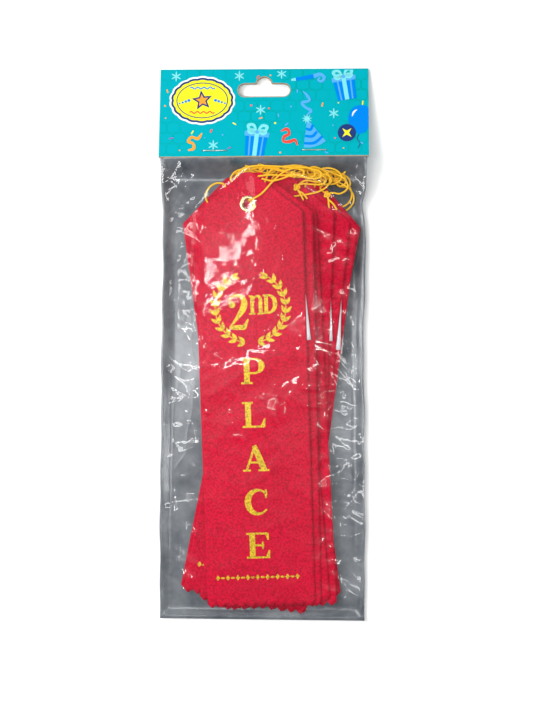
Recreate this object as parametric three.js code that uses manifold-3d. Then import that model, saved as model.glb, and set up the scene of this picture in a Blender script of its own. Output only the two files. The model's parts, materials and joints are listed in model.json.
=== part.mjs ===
// A retail pack of second-place award ribbons: ten pointed satin ribbons in a film bag,
// closed by a folded and stapled header card. The pack lies on its back.
// Frame: X to the right, Y towards the header, Z up out of the pack; millimetres.

import * as THREE from 'three';
import { mergeVertices } from 'three/addons/utils/BufferGeometryUtils.js';
import Module from 'manifold-3d';

const wasm = await Module();
wasm.setup();

// Driving dimensions

const PACK_LENGTH = 264; // header fold to bottom seal
const HEADER_WIDTH = 100;
const HEADER_HEIGHT = 44; // each panel of the folded card
const HEADER_CARD = 0.4;
const HEADER_LIFT = 7.2; // rise of the panels' free edge over the swollen bag, at mid width
const HEADER_TWIST = 1.2; // extra rise at the right edge, over the tangle of cords
const SLOT_WIDTH = 25;
const SLOT_HEIGHT = 6.4;
const SLOT_BUMP_WIDTH = 7.2;
const SLOT_BUMP_RISE = 3.3;
const SLOT_DROP = 10.8; // fold to slot centre line
const STAPLE_CROWN = 12;
const STAPLE_WIRE = 0.5;
const STAPLE_CLINCH = 4.2;
const STAPLE_INSET = 3.2; // above the free edge of the header
const STAPLE_SPACING = 47.3; // between the two staples
const STAPLE_OFFSET = 0.4; // of their middle, to the right

const BAG_WIDTH = 98.5;
const FILM = 0.15;
const FILM_GAP = 0.1; // between the two films where they are welded or pinched
const MOUTH_DROP = 18; // fold of the header to the bag's mouth
const EDGE_HEIGHT = 2.6; // bag's side fold above the table, at mid length
const SEAL_HEIGHT = 1.9; // bottom seal above the table

const BAG_SHOULDER = 60; // y below which the side folds lie at their own height
const STACK_TOP = 82; // y up to which the front film stays at the height of the stack
const BACK_TOP = 79; // y up to which the back film stays on the table
const FOOT_ROOM = 5; // bottom seal to where the films reach full height
const FLAT_SPREAD = 17.5; // back film that lies flat beyond half a ribbon or event card, to each side
const COVER = 0.32; // front ribbon's mid plane to the front film

const RIBBON_WIDTH = 51;
const RIBBON_LENGTH = 205;
const RIBBON_THICKNESS = 0.14;
const APEX_WIDTH = 3.8;
const SHOULDER_DROP = 18.7; // apex to the corner where the full width starts
const EYELET_DROP = 14.7; // apex to the eyelet's centre
const TEETH = 11;
const TOOTH_DEPTH = 2;

const EVENT_CARD_WIDTH = 43.5;
const EVENT_CARD_RISE = 9; // above the eyelet's centre
const EVENT_CARD_DROP = 66.5; // below the eyelet's centre
const EVENT_CARD_INSET = 2; // of its upper corners, below the ribbon's shoulders
const EVENT_CARD_THICKNESS = 0.13;

const EYELET_BORE = 4.6;
const EYELET_OUTER = 7.6;
const EYELET_WALL = 0.25;
const FLANGE = 0.08;
const CORD = 0.85;
const CORD_IN_BORE = [0.5, 1.5]; // the cord bears on the upper edge of the bore
const KNOT = [1.5, 1.3, 0.5]; // half sizes of the pressed overhand knot

const CORD_ROOM = 0.75; // gap that a cord keeps between two stacked ribbons at the eyelets
const RIBBON_PITCH_FOOT = 0.55; // spacing at the pinked feet
const LAY_EYELET = 1.6; // height of the rearmost ribbon at the eyelets
const LAY_FOOT = 0.7; // height of the rearmost ribbon at the feet
const SLIP = 0.03; // gap between stacked layers
const FIT = 0.1; // gap around a barrel or a staple leg

// Worked out from them

const TOP = PACK_LENGTH / 2;
const HEADER_FREE = TOP - HEADER_HEIGHT; // y of the header's free edge
const RIBBON_PITCH_EYELET = CORD + CORD_ROOM; // spacing of the stacked ribbons at the eyelets
const FLAT_HALF = FLAT_SPREAD + Math.max(RIBBON_WIDTH, EVENT_CARD_WIDTH) / 2;
const HEADER_ROOM = 2 * FILM + FILM_GAP + 2 * FIT;
const HEADER_MID = HEADER_ROOM / 2 + HEADER_CARD; // height of the layer between the panels
const CARD_BEHIND = RIBBON_THICKNESS / 2 + SLIP; // ribbon's mid plane to the event card's face
const BACK_FLANGE = CARD_BEHIND + EVENT_CARD_THICKNESS + SLIP;
const FRONT_FLANGE = RIBBON_THICKNESS / 2 + SLIP;
const LEG_TOP = FRONT_FLANGE + FLANGE + SLIP + CORD; // top of a cord lying on the front flange
const EYELET_LINE = 65; // y where the pitch at the eyelets is measured
const FOOT_LINE = -126; // y where the pitch at the feet is measured

// The ribbons from front to back: place of the apex, and the turn about the eyelet in degrees
const RIBBONS = [
  { apex: [-7.2, 79.2], turn: 2 },
  { apex: [-2.5, 79.4], turn: 1.5 },
  { apex: [-10.7, 79.1], turn: 5 },
  { apex: [-1.2, 78.6], turn: 3.2 },
  { apex: [8.9, 80.9], turn: -2 },
  { apex: [17.9, 78.1], turn: -6.2 },
  { apex: [22.1, 77], turn: -7.5 },
  { apex: [24.6, 77.8], turn: -10.5 },
  { apex: [-16, 79.1], turn: 8 },
  { apex: [24.9, 78.5], turn: -11 },
];

// How far each event card has swung on its eyelet, relative to its ribbon, in degrees
const CARD_TURNS = [4.9, 1, -2, 0.5, 4.6, 5.2, 3.9, 1.5, -1, 2];

// Cord routes, chosen by hand: x, y, and height over the mid plane of the cord's own ribbon.
// Each leg runs from the eyelet's bore to the knot, and each tail from the knot to its cut end.
const F = 0.65; // level of a leg lying on the front of its ribbon
const B = -0.83; // level of a leg lying behind the event card
const M = -0.08; // level beyond the ribbon, clear of the cords above and below
const CORDS = [
  {
    front: [[-3.4, 67.2, F], [-0.2, 69.2, F], [4.5, 74.4, F], [9, 78.6, 0.3], [13.5, 80.7, 0.25],
      [20, 81.2, 0.25], [26, 79.8, 0.25], [27.6, 77, 0.25], [21, 76.4, 0.2]],
    back: [[-7.4, 70, B], [-8.2, 75, B], [-8, 80.6, -0.5], [-4, 82, M], [4, 82, M], [12, 81.4, M],
      [19.6, 79.6, M], [18.6, 77.6, M]],
    knot: [14.2, 78, 0],
    tails: [[[9, 77.6, 0.2], [3.6, 77.8, 0.7], [-1.8, 77.2, 0.72]], [[9.4, 76.2, 0.3], [4.6, 75, 0.72],
      [0, 76, 0.72]]],
  },
  {
    front: [[-1, 70, F], [1.2, 75, F], [3.6, 80, 0.4], [8.4, 82, M], [16, 82.2, M], [22.6, 81, M],
      [24.8, 78, M], [18, 77.4, M], [8.6, 80, M]],
    back: [[-2.4, 70, B], [-2, 75.5, B], [0, 80.6, -0.5], [7, 82.2, M], [15, 81, M], [19.6, 78.6, M],
      [13, 78.6, M], [6.4, 81.4, M]],
    knot: [-0.8, 82, M],
    tails: [[[-4, 81.8, M], [-7.8, 82.4, M]], [[-4.4, 81, M], [-9, 80.6, M]]],
  },
  {
    front: [[-9.6, 69, F], [-11, 75, F], [-11.2, 79.8, F], [-8.4, 82, 0.1], [-2, 82.8, M], [4, 82.4, M],
      [6, 80.4, M], [0, 79.8, M], [-7, 81.2, 0.1], [-13, 80, 0.5], [-15.2, 75.6, F]],
    back: [[-8.2, 69, B], [-8.4, 75, B], [-8.4, 80.4, -0.5], [-3, 81.4, M], [2.6, 80.4, M],
      [-3, 79.4, M], [-9.6, 80.8, 0.4], [-13, 77, F]],
    knot: [-14.4, 71.6, 0.66],
    tails: [[[-18, 74.2, F], [-22.4, 74.4, 0.7], [-26, 71.4, F], [-26.8, 67.6, F], [-25, 64.3, F]],
      [[-16.4, 68, F], [-18.6, 65, F]]],
  },
  {
    front: [[1.4, 69, F], [3.2, 74, F], [6, 79.2, 0.4], [12, 82, M], [20, 82, M], [26, 79.4, M],
      [27.4, 76, M], [20.6, 76.4, M]],
    back: [[-0.4, 69.4, B], [0.6, 75, B], [2.8, 80.2, -0.5], [9, 81, M], [17, 79.4, M], [24, 78, M],
      [30, 77, M], [26.4, 74.2, M], [20, 74.6, M]],
    knot: [15.9, 73, M],
    tails: [[[17.4, 70.4, M], [19, 67.2, M]], [[18, 71, M], [20.8, 67.8, M]]],
  },
  {
    front: [[11.4, 68.2, F], [15, 68.9, F], [21.6, 69.9, F], [27.8, 71.8, 0.3], [31.3, 75, M],
      [31.2, 79, M], [26.3, 82.3, M], [20.6, 81, M]],
    back: [[8.4, 73, B], [8.4, 79, B], [9.4, 82.4, -0.5], [15, 83.6, M], [21.6, 82.4, M], [28, 79.4, M],
      [32.6, 76, M], [27, 75.4, M]],
    knot: [24.5, 79, M],
    tails: [[[27.6, 78.6, M], [30.6, 80, M]], [[27, 77.2, M], [29.8, 76, M]]],
  },
  {
    front: [[18, 69, F], [20.4, 75, F], [23.6, 80, 0.2], [29, 82.6, M], [35, 81.4, M], [37.4, 78, M],
      [34, 75.2, M], [28.4, 74.6, 0.3], [26.8, 72.8, F]],
    back: [[16.6, 69, B], [17.4, 75, B], [19, 80.8, -0.5], [25, 82.4, M], [32, 80.6, M],
      [38.6, 77.4, M], [40.2, 73.2, 0], [36, 70.2, 0.4]],
    knot: [30.3, 70, 0.62],
    tails: [[[31, 66.8, F], [31.2, 63.4, F]], [[32.4, 66.6, F], [34.8, 63, F]]],
  },
  {
    front: [[21.6, 68, F], [24.4, 74, F], [25.4, 79.4, 0.4], [22, 81.8, M], [16.4, 80.6, M],
      [18, 78, 0.1], [28, 80.8, M], [31.4, 79.6, M]],
    back: [[20, 68, B], [20.6, 74, B], [21.4, 79.6, -0.5], [27, 81.4, M], [33, 81.4, M], [38, 79.6, M],
      [39.4, 76, M], [36, 74, M]],
    knot: [34.4, 76.8, M],
    tails: [[[37, 75.6, M], [39.8, 73.8, M]], [[36.4, 78.8, M], [38.8, 81, M]]],
  },
  {
    front: [[23.6, 69, F], [26.8, 75.2, F], [30, 79.4, 0.3], [36, 80.8, M], [40.4, 78.6, M],
      [41.4, 74.6, M], [36.6, 74.4, M], [29.6, 79.4, M], [23.6, 81.6, M]],
    back: [[22.4, 69, B], [23.4, 75, B], [24.6, 79.8, -0.5], [29.6, 81.4, M], [34.6, 78.8, M],
      [31, 77.8, M], [23, 80, M], [16, 80.2, M], [14.6, 82, M]],
    knot: [18.6, 82.2, M],
    tails: [[[15.6, 80.8, M], [12, 80.8, M]], [[20, 80, M], [20, 77, M]]],
  },
  {
    front: [[-14.2, 70, F], [-15.6, 76, F], [-15.6, 79.6, F], [-12.6, 81.4, 0], [-6, 81.6, M],
      [1, 81, M], [8, 79.6, M], [8, 77.6, M], [1.6, 78.2, M]],
    back: [[-12.6, 70, B], [-13.2, 76, B], [-12.6, 80.4, -0.5], [-6, 79.6, M], [1, 76.6, M],
      [9, 77.6, M], [13.6, 80, M], [8, 81.6, M], [0, 80.4, M]],
    knot: [-3.4, 78.4, M],
    tails: [[[-6.2, 79.8, M], [-9.4, 80.8, M]], [[-4.6, 81, M], [-7, 81.8, M]]],
  },
  {
    front: [[28, 65.4, F], [34, 65, F], [38.6, 65.4, F], [41.6, 68.2, 0.3], [42.2, 72, M],
      [40.2, 76.4, M], [36.4, 79.4, M]],
    back: [[28, 63.4, B], [34.6, 62.4, B], [39.6, 63.6, B], [43, 67.2, -0.4], [43, 71, M],
      [40.6, 74.4, M], [36.8, 76.6, M]],
    knot: [31.6, 79.8, M],
    tails: [[[34.4, 77.8, M], [36.6, 74.8, M]], [[34.6, 79.6, M], [37.8, 77.8, M]]],
  },
];

const group = new THREE.Group();

// Materials

const finish = (color, roughness, metalness) => new THREE.MeshStandardMaterial({ color, roughness, metalness });
const HEADER_FINISH = finish(0x00b5c0, 0.35, 0);
const FILM_FINISH = finish(0x8a939a, 0.15, 0);
const STEEL_FINISH = finish(0xc8c8cc, 0.35, 1);
const SATIN_FINISH = finish(0xcf1030, 0.45, 0);
const BRASS_FINISH = finish(0xd9c878, 0.25, 1);
const PAPER_FINISH = finish(0xe6e6e8, 0.8, 0);
const CORD_FINISH = finish(0xffc91a, 0.6, 0);

// Common solids and shapes

// A closed three.js geometry as a solid that can be joined and cut.
function solid(geometry) {
  const plain = geometry.clone();
  plain.deleteAttribute('normal');
  plain.deleteAttribute('uv');
  const merged = mergeVertices(plain, 1e-5);
  return new wasm.Manifold(new wasm.Mesh({
    numProp: 3,
    vertProperties: new Float32Array(merged.attributes.position.array),
    triVerts: new Uint32Array(merged.index.array),
  }));
}

// A solid back as a three.js geometry.
function surface(body) {
  const mesh = body.getMesh();
  const geometry = new THREE.BufferGeometry();
  geometry.setAttribute('position', new THREE.BufferAttribute(new Float32Array(mesh.vertProperties), 3));
  geometry.setIndex(new THREE.BufferAttribute(new Uint32Array(mesh.triVerts), 1));
  geometry.computeVertexNormals();
  return geometry;
}

// The same geometry with every point moved by the given rule.
function reshape(geometry, rule) {
  const position = geometry.attributes.position;
  const point = new THREE.Vector3();
  for (let i = 0; i < position.count; i += 1) {
    point.fromBufferAttribute(position, i);
    rule(point);
    position.setXYZ(i, point.x, point.y, point.z);
  }
  geometry.computeVertexNormals();
  return geometry;
}

function box(width, height, depth, x, y, z) {
  return new THREE.BoxGeometry(width, height, depth).translate(x, y, z);
}

function add(name, geometry, material, parent = group) {
  const mesh = new THREE.Mesh(geometry, material);
  mesh.name = name;
  parent.add(mesh);
  return mesh;
}

const ease = (value, from, to) => THREE.MathUtils.smoothstep(value, from, to);

// Lie of the pack

// Rise of the header over its flat, folded state: none at the fold, most at the free edge.
function headerRise(x, y) {
  const share = (TOP - y) / HEADER_HEIGHT;
  return share * (HEADER_LIFT + HEADER_TWIST * (x / (HEADER_WIDTH / 2)));
}

// Height of the mid plane of the ribbon `back` places behind the front one.
function ribbonHeight(back, y) {
  const places = RIBBONS.length - 1 - back;
  const eyelet = LAY_EYELET + places * RIBBON_PITCH_EYELET;
  const foot = LAY_FOOT + places * RIBBON_PITCH_FOOT;
  return foot + (eyelet - foot) * (y - FOOT_LINE) / (EYELET_LINE - FOOT_LINE);
}

function ribbonTilt(back) {
  return Math.atan2(ribbonHeight(back, EYELET_LINE) - ribbonHeight(back, FOOT_LINE), EYELET_LINE - FOOT_LINE);
}

// Height of the seam between the two films: the header's mid layer at the mouth,
// then the bag's side folds, then the bottom seal.
function seamHeight(x, y) {
  const bag = SEAL_HEIGHT + (EDGE_HEIGHT - SEAL_HEIGHT) * ease(y, -TOP, -TOP / 2);
  const mouth = HEADER_MID + headerRise(x, Math.max(y, HEADER_FREE));
  return bag + (mouth - bag) * ease(y, BAG_SHOULDER, HEADER_FREE);
}

// Underside of the front film: over the stack, and down to the seam at the sides and both ends.
function frontHeight(x, y) {
  const cords = LEG_TOP * ease(y, 40, 56);
  const stack = ribbonHeight(0, Math.min(y, STACK_TOP)) + COVER + cords;
  const seam = seamHeight(x, y) + FILM_GAP / 2;
  const side = Math.sqrt(Math.max(0, 1 - Math.abs(x / (BAG_WIDTH / 2)) ** 10));
  const ends = (1 - ease(y, STACK_TOP, HEADER_FREE)) * ease(y, -TOP, -TOP + FOOT_ROOM);
  return seam + Math.max(0, stack - seam) * side * ends;
}

// Underside of the back film: flat on the table, and up to the seam at the sides and both ends.
function backHeight(x, y) {
  const seam = seamHeight(x, y) - FILM_GAP / 2 - FILM;
  const side = ease(Math.abs(x), FLAT_HALF, BAG_WIDTH / 2) ** 1.5;
  const ends = Math.max(ease(y, BACK_TOP, HEADER_FREE), 1 - ease(y, -TOP, -TOP + FOOT_ROOM));
  return seam * Math.max(side, ends);
}

// Header card: one strip folded into a U, with the hang slot through both panels

function slotShape() {
  const half = SLOT_HEIGHT / 2;
  const centre = TOP - SLOT_DROP;
  const reach = SLOT_WIDTH / 2 - half;
  const bump = SLOT_BUMP_WIDTH / 2;
  const shape = new THREE.Shape();
  shape.absarc(-reach, centre, half, Math.PI / 2, Math.PI * 1.5);
  shape.absarc(reach, centre, half, -Math.PI / 2, Math.PI / 2);
  shape.absellipse(0, centre + half, bump, SLOT_BUMP_RISE, 0, Math.PI);
  return shape;
}

function headerCard() {
  const inner = HEADER_ROOM / 2;
  const outer = inner + HEADER_CARD;
  const fold = TOP - outer;
  const profile = new THREE.Shape();
  profile.moveTo(HEADER_FREE, outer);
  profile.lineTo(HEADER_FREE, inner);
  profile.lineTo(fold, inner);
  profile.absarc(fold, 0, inner, Math.PI / 2, -Math.PI / 2, true);
  profile.lineTo(HEADER_FREE, -inner);
  profile.lineTo(HEADER_FREE, -outer);
  profile.lineTo(fold, -outer);
  profile.absarc(fold, 0, outer, -Math.PI / 2, Math.PI / 2);
  profile.closePath();
  const strip = new THREE.ExtrudeGeometry(profile, {
    depth: HEADER_WIDTH, steps: 8, curveSegments: 4, bevelEnabled: false,
  });
  // The profile is drawn in Y and Z and run along X.
  reshape(strip, (p) => p.set(p.z - HEADER_WIDTH / 2, p.x, p.y + HEADER_MID));
  const slot = new THREE.ExtrudeGeometry(slotShape(), {
    depth: 4 * HEADER_MID, curveSegments: 6, bevelEnabled: false,
  }).translate(0, 0, -HEADER_MID);
  const cut = solid(strip).subtract(solid(slot)).subtract(stapleHoles());
  return reshape(surface(cut), (p) => p.set(p.x, p.y, p.z + headerRise(p.x, p.y)));
}

// Staples: flat-sectioned wire, clinched inwards behind the back panel

function stapleCentres() {
  const y = HEADER_FREE + STAPLE_INSET;
  return [[-STAPLE_SPACING / 2 + STAPLE_OFFSET, y], [STAPLE_SPACING / 2 + STAPLE_OFFSET, y]];
}

function stapleHoles() {
  const size = STAPLE_WIRE + 2 * FIT;
  const holes = stapleCentres().flatMap(([x, y]) => [-1, 1].map((side) => {
    const leg = x + side * (STAPLE_CROWN - STAPLE_WIRE) / 2;
    return solid(box(size, size, 40, leg, y, 0));
  }));
  return holes.reduce((all, hole) => all.add(hole));
}

function staple([x, y]) {
  const half = HEADER_MID + FIT; // layers to the inside of the crown
  const reach = half + STAPLE_WIRE;
  const leg = (STAPLE_CROWN - STAPLE_WIRE) / 2;
  const clinch = leg - STAPLE_CLINCH / 2 + STAPLE_WIRE / 2;
  const parts = [
    box(STAPLE_CROWN, STAPLE_WIRE, STAPLE_WIRE, x, y, HEADER_MID + half + STAPLE_WIRE / 2),
    box(STAPLE_WIRE, STAPLE_WIRE, 2 * reach, x - leg, y, HEADER_MID),
    box(STAPLE_WIRE, STAPLE_WIRE, 2 * reach, x + leg, y, HEADER_MID),
    box(STAPLE_CLINCH, STAPLE_WIRE, STAPLE_WIRE, x - clinch, y, HEADER_MID - half - STAPLE_WIRE / 2),
    box(STAPLE_CLINCH, STAPLE_WIRE, STAPLE_WIRE, x + clinch, y, HEADER_MID - half - STAPLE_WIRE / 2),
  ];
  const wire = parts.map(solid).reduce((all, part) => all.add(part));
  return reshape(surface(wire), (p) => p.set(p.x, p.y, p.z + headerRise(p.x, p.y)));
}

// Film bag: two sheets that share their grid, so that they never cross

// Rows of the grid along Y, close together where the films rise and fall.
function filmRows() {
  const foot = [0, 0.25, 0.6, 1].map((share) => -TOP + share * FOOT_ROOM);
  const middle = [-95, -55, -15, 20, 40, 48, 56, 66];
  const shoulder = [0, 0.25, 0.4, 0.55, 0.7, 0.85, 1]
    .map((share) => THREE.MathUtils.lerp(BACK_TOP, HEADER_FREE, share));
  return [...foot, ...middle, ...shoulder, HEADER_FREE + 10, TOP - MOUTH_DROP];
}

// The sheet's thickness stands square to its section across the bag, steep sides included.
function film(underside) {
  const rows = filmRows();
  const columns = 16;
  const half = BAG_WIDTH / 2;
  const sheet = new THREE.BoxGeometry(2, rows.length - 1, 1, columns, rows.length - 1, 1);
  // Columns crowd towards the sides, where the films curve most.
  const column = (share) => half * Math.sin(THREE.MathUtils.clamp(share, -1, 1) * Math.PI / 2);
  reshape(sheet, (p) => {
    const y = rows[Math.round(p.y + (rows.length - 1) / 2)];
    const [before, x, after] = [-1, 0, 1].map((step) => column(p.x + step * 2 / columns));
    const run = after - before;
    const rise = underside(after, y) - underside(before, y);
    const wall = (p.z + 0.5) * FILM / Math.hypot(run, rise);
    p.set(x - rise * wall, y, underside(x, y) + run * wall);
  });
  return surface(solid(sheet).subtract(stapleHoles()));
}

// Ribbon: flat apex, two shoulders, straight sides, pinked foot, bore for the eyelet.
// Drawn with the eyelet's centre at the origin and the foot towards -Y.
function ribbonShape() {
  const half = RIBBON_WIDTH / 2;
  const top = EYELET_DROP;
  const foot = top - RIBBON_LENGTH;
  const shape = new THREE.Shape();
  shape.moveTo(APEX_WIDTH / 2, top);
  shape.lineTo(-APEX_WIDTH / 2, top);
  shape.lineTo(-half, top - SHOULDER_DROP);
  shape.lineTo(-half, foot + TOOTH_DEPTH);
  const pitch = RIBBON_WIDTH / TEETH;
  for (let tooth = 0; tooth < TEETH; tooth += 1) {
    const left = -half + tooth * pitch;
    shape.lineTo(left + pitch / 2, foot);
    shape.lineTo(left + pitch, foot + TOOTH_DEPTH);
  }
  shape.lineTo(half, top - SHOULDER_DROP);
  shape.closePath();
  shape.holes.push(boreHole());
  return shape;
}

function boreHole() {
  const hole = new THREE.Path();
  hole.absarc(0, 0, EYELET_BORE / 2 + EYELET_WALL + FIT, 0, 2 * Math.PI);
  return hole;
}

function eventCardShape() {
  const half = EVENT_CARD_WIDTH / 2;
  const slope = SHOULDER_DROP / (RIBBON_WIDTH / 2 - APEX_WIDTH / 2);
  const apex = EYELET_DROP - EVENT_CARD_INSET;
  const corner = APEX_WIDTH / 2 + (apex - EVENT_CARD_RISE) / slope;
  const shoulder = apex - (half - APEX_WIDTH / 2) * slope;
  const shape = new THREE.Shape();
  shape.moveTo(-half, -EVENT_CARD_DROP);
  shape.lineTo(half, -EVENT_CARD_DROP);
  shape.lineTo(half, shoulder);
  shape.lineTo(corner, EVENT_CARD_RISE);
  shape.lineTo(-corner, EVENT_CARD_RISE);
  shape.lineTo(-half, shoulder);
  shape.closePath();
  shape.holes.push(boreHole());
  return shape;
}

function plate(shape, thickness, lowest) {
  return new THREE.ExtrudeGeometry(shape, { depth: thickness, curveSegments: 7, bevelEnabled: false })
    .translate(0, 0, lowest);
}

// Eyelet: a barrel rolled over into a flange on the ribbon and another behind the event card.
function eyelet() {
  const bore = EYELET_BORE / 2;
  const barrel = bore + EYELET_WALL;
  const flange = EYELET_OUTER / 2;
  const front = FRONT_FLANGE;
  const back = -BACK_FLANGE;
  const profile = [
    [bore, back - FLANGE], [flange, back - FLANGE], [flange, back], [barrel, back],
    [barrel, front], [flange, front], [flange, front + FLANGE], [bore, front + FLANGE], [bore, back - FLANGE],
  ].map(([r, z]) => new THREE.Vector2(r, z));
  return new THREE.LatheGeometry(profile, 14).rotateX(Math.PI / 2);
}

// Cords

function tube(points, radius) {
  const curve = new THREE.CatmullRomCurve3(points, false, 'centripetal');
  const section = new THREE.Shape();
  section.absarc(0, 0, radius, 0, 2 * Math.PI);
  const steps = Math.max(2, Math.round(curve.getLength() / (3 * CORD)));
  return new THREE.ExtrudeGeometry(section, { steps, curveSegments: 4, extrudePath: curve });
}

function eyeletCentre(back) {
  const { apex, turn } = RIBBONS[back];
  const angle = THREE.MathUtils.degToRad(turn);
  return [apex[0] + EYELET_DROP * Math.sin(angle), apex[1] - EYELET_DROP * Math.cos(angle)];
}

function cord(back) {
  const route = CORDS[back];
  const place = ([x, y, height]) => new THREE.Vector3(x, y, ribbonHeight(back, y) + height);
  const [x, y] = eyeletCentre(back);
  const bore = [x + CORD_IN_BORE[0], y + CORD_IN_BORE[1]];
  const knot = place(route.knot);
  const through = [place([...bore, B]), place([...bore, F])];
  const parts = [
    tube(through, CORD / 2),
    tube([place([...bore, F]), ...route.front.map(place), knot], CORD / 2),
    tube([place([...bore, B]), ...route.back.map(place), knot], CORD / 2),
    ...route.tails.map((tail) => tube([knot, ...tail.map(place)], CORD / 2)),
    new THREE.SphereGeometry(1, 8, 6).scale(...KNOT).translate(knot.x, knot.y, knot.z),
  ];
  return surface(parts.map(solid).reduce((all, part) => all.add(part)));
}

// Assembly

add('header_card', headerCard(), HEADER_FINISH);
add('bag_front_film', film(frontHeight), FILM_FINISH);
add('bag_back_film', film(backHeight), FILM_FINISH);
const [leftStaple, rightStaple] = stapleCentres();
add('staple_left', staple(leftStaple), STEEL_FINISH);
add('staple_right', staple(rightStaple), STEEL_FINISH);

RIBBONS.forEach(({ turn }, back) => {
  const number = String(back + 1).padStart(2, '0');
  const [x, y] = eyeletCentre(back);
  const hung = new THREE.Group();
  hung.position.set(x, y, ribbonHeight(back, y));
  hung.rotation.set(ribbonTilt(back), 0, THREE.MathUtils.degToRad(turn));
  group.add(hung);
  const strip = plate(ribbonShape(), RIBBON_THICKNESS, -RIBBON_THICKNESS / 2);
  add(`ribbon_${number}`, strip, SATIN_FINISH, hung);
  add(`eyelet_${number}`, eyelet(), BRASS_FINISH, hung);
  const blank = plate(eventCardShape(), EVENT_CARD_THICKNESS, -CARD_BEHIND - EVENT_CARD_THICKNESS);
  const card = add(`event_card_${number}`, blank, PAPER_FINISH, hung);
  card.rotation.z = THREE.MathUtils.degToRad(CARD_TURNS[back]);
  add(`cord_${number}`, cord(back), CORD_FINISH);
});

export default group;
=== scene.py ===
"""A retail pack of second-place award ribbons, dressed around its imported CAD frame.

Ten pointed satin ribbons hang on yellow elastic loops in a film bag, under a folded and
stapled header card. The pack lies on its back: X to the right, Y towards the header and
Z up out of the pack. Sizes are in millimetres in the classes and metres in the meshes.
"""

import json
import logging
import math
from dataclasses import dataclass, field
from enum import Enum
from typing import Any, Iterable, Sequence

import bpy
import numpy as np
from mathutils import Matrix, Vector

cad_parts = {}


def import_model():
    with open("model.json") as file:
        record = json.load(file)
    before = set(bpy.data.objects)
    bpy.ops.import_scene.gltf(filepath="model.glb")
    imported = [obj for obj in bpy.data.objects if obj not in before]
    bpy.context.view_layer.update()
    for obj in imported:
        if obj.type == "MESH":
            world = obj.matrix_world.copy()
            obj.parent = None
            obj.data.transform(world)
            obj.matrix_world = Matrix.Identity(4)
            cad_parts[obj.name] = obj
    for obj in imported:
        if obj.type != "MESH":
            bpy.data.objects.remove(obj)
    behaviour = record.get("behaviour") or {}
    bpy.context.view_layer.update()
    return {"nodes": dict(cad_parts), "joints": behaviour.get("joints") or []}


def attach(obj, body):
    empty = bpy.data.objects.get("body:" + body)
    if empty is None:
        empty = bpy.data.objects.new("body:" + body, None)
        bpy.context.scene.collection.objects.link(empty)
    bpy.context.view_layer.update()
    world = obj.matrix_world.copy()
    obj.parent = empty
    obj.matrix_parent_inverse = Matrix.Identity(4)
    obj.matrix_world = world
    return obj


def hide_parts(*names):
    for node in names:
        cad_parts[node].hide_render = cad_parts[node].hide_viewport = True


frame: dict[str, Any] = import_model()

MM = 0.001
TAU = 2.0 * math.pi
LOG = logging.getLogger("ribbon_pack")

Array = np.ndarray
Point = tuple[float, float, float]
Colour = tuple[float, float, float]


# ---------------------------------------------------------------------------
# Meshes
# ---------------------------------------------------------------------------


def vec(*values: float) -> Array:
    """A small float array."""
    return np.array(values, float)


def ease(value: Array | float, low: float, high: float) -> Array:
    """A smooth step: 0 at low, 1 at high, 3t^2 - 2t^3 between."""
    t = np.clip((np.asarray(value, float) - low) / (high - low), 0.0, 1.0)
    return t * t * (3.0 - 2.0 * t)


def unit(vectors: Array) -> Array:
    """Vectors along the last axis, brought to length one."""
    return vectors / np.maximum(np.linalg.norm(vectors, axis=-1, keepdims=True), 1e-12)


def grid_quads(rows: int, columns: int, wrap_rows: bool = False, wrap_columns: bool = False) -> Array:
    """The quads of a grid of rows x columns points, counter-clockwise seen with rows up.

    Args:
        rows: points along the first parameter.
        columns: points along the second parameter.
        wrap_rows: joins the last row to the first.
        wrap_columns: joins the last column to the first.

    Returns:
        An array of four vertex numbers for each quad.
    """
    i = np.arange(rows if wrap_rows else rows - 1)[:, None]
    j = np.arange(columns if wrap_columns else columns - 1)[None, :]
    i2, j2 = (i + 1) % rows, (j + 1) % columns
    corners = (i * columns + j, i * columns + j2, i2 * columns + j2, i2 * columns + j)
    return np.stack(np.broadcast_arrays(*corners), -1).reshape(-1, 4)


@dataclass
class Shape:
    """Points in millimetres, faces, and what the faces carry."""

    points: Array
    faces: list[Array]
    uv: Array | None = None
    tint: Array | None = None

    @staticmethod
    def joined(shapes: Sequence["Shape"]) -> "Shape":
        """Several shapes as one, with their UVs and tints kept when all have them."""
        offsets = np.cumsum([0] + [len(s.points) for s in shapes[:-1]])
        faces = [f + o for s, o in zip(shapes, offsets) for f in s.faces]
        uv = np.concatenate([s.uv for s in shapes]) if all(s.uv is not None for s in shapes) else None
        tint = np.concatenate([s.tint for s in shapes]) if all(s.tint is not None for s in shapes) else None
        return Shape(np.concatenate([s.points for s in shapes]), faces, uv, tint)

    def painted(self, colour: Colour) -> "Shape":
        """The same shape with one tint all over."""
        return Shape(self.points, self.faces, self.uv, np.tile(vec(*colour, 1.0), (len(self.points), 1)))

    def build(self, name: str, smooth: bool = True) -> bpy.types.Object:
        """Makes the Blender object, in metres.

        Args:
            name: the piece's name.
            smooth: whether its faces shade smoothly.

        Returns:
            The linked object, at the origin.
        """
        mesh = bpy.data.meshes.new(name)
        faces = [row for block in self.faces for row in block.tolist()]
        mesh.from_pydata((self.points * MM).tolist(), [], faces)
        corner = np.empty(len(mesh.loops), np.int64)
        mesh.loops.foreach_get("vertex_index", corner)
        if self.uv is not None:
            layer = mesh.uv_layers.new(name="UVMap")
            layer.data.foreach_set("uv", self.uv[corner].astype(np.float32).ravel())
        if self.tint is not None:
            layer = mesh.color_attributes.new("Tint", "FLOAT_COLOR", "POINT")
            layer.data.foreach_set("color", self.tint.astype(np.float32).ravel())
        mesh.polygons.foreach_set("use_smooth", np.full(len(mesh.polygons), smooth))
        mesh.update()
        mesh.validate()
        piece = bpy.data.objects.new(name, mesh)
        bpy.context.scene.collection.objects.link(piece)
        return piece


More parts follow.
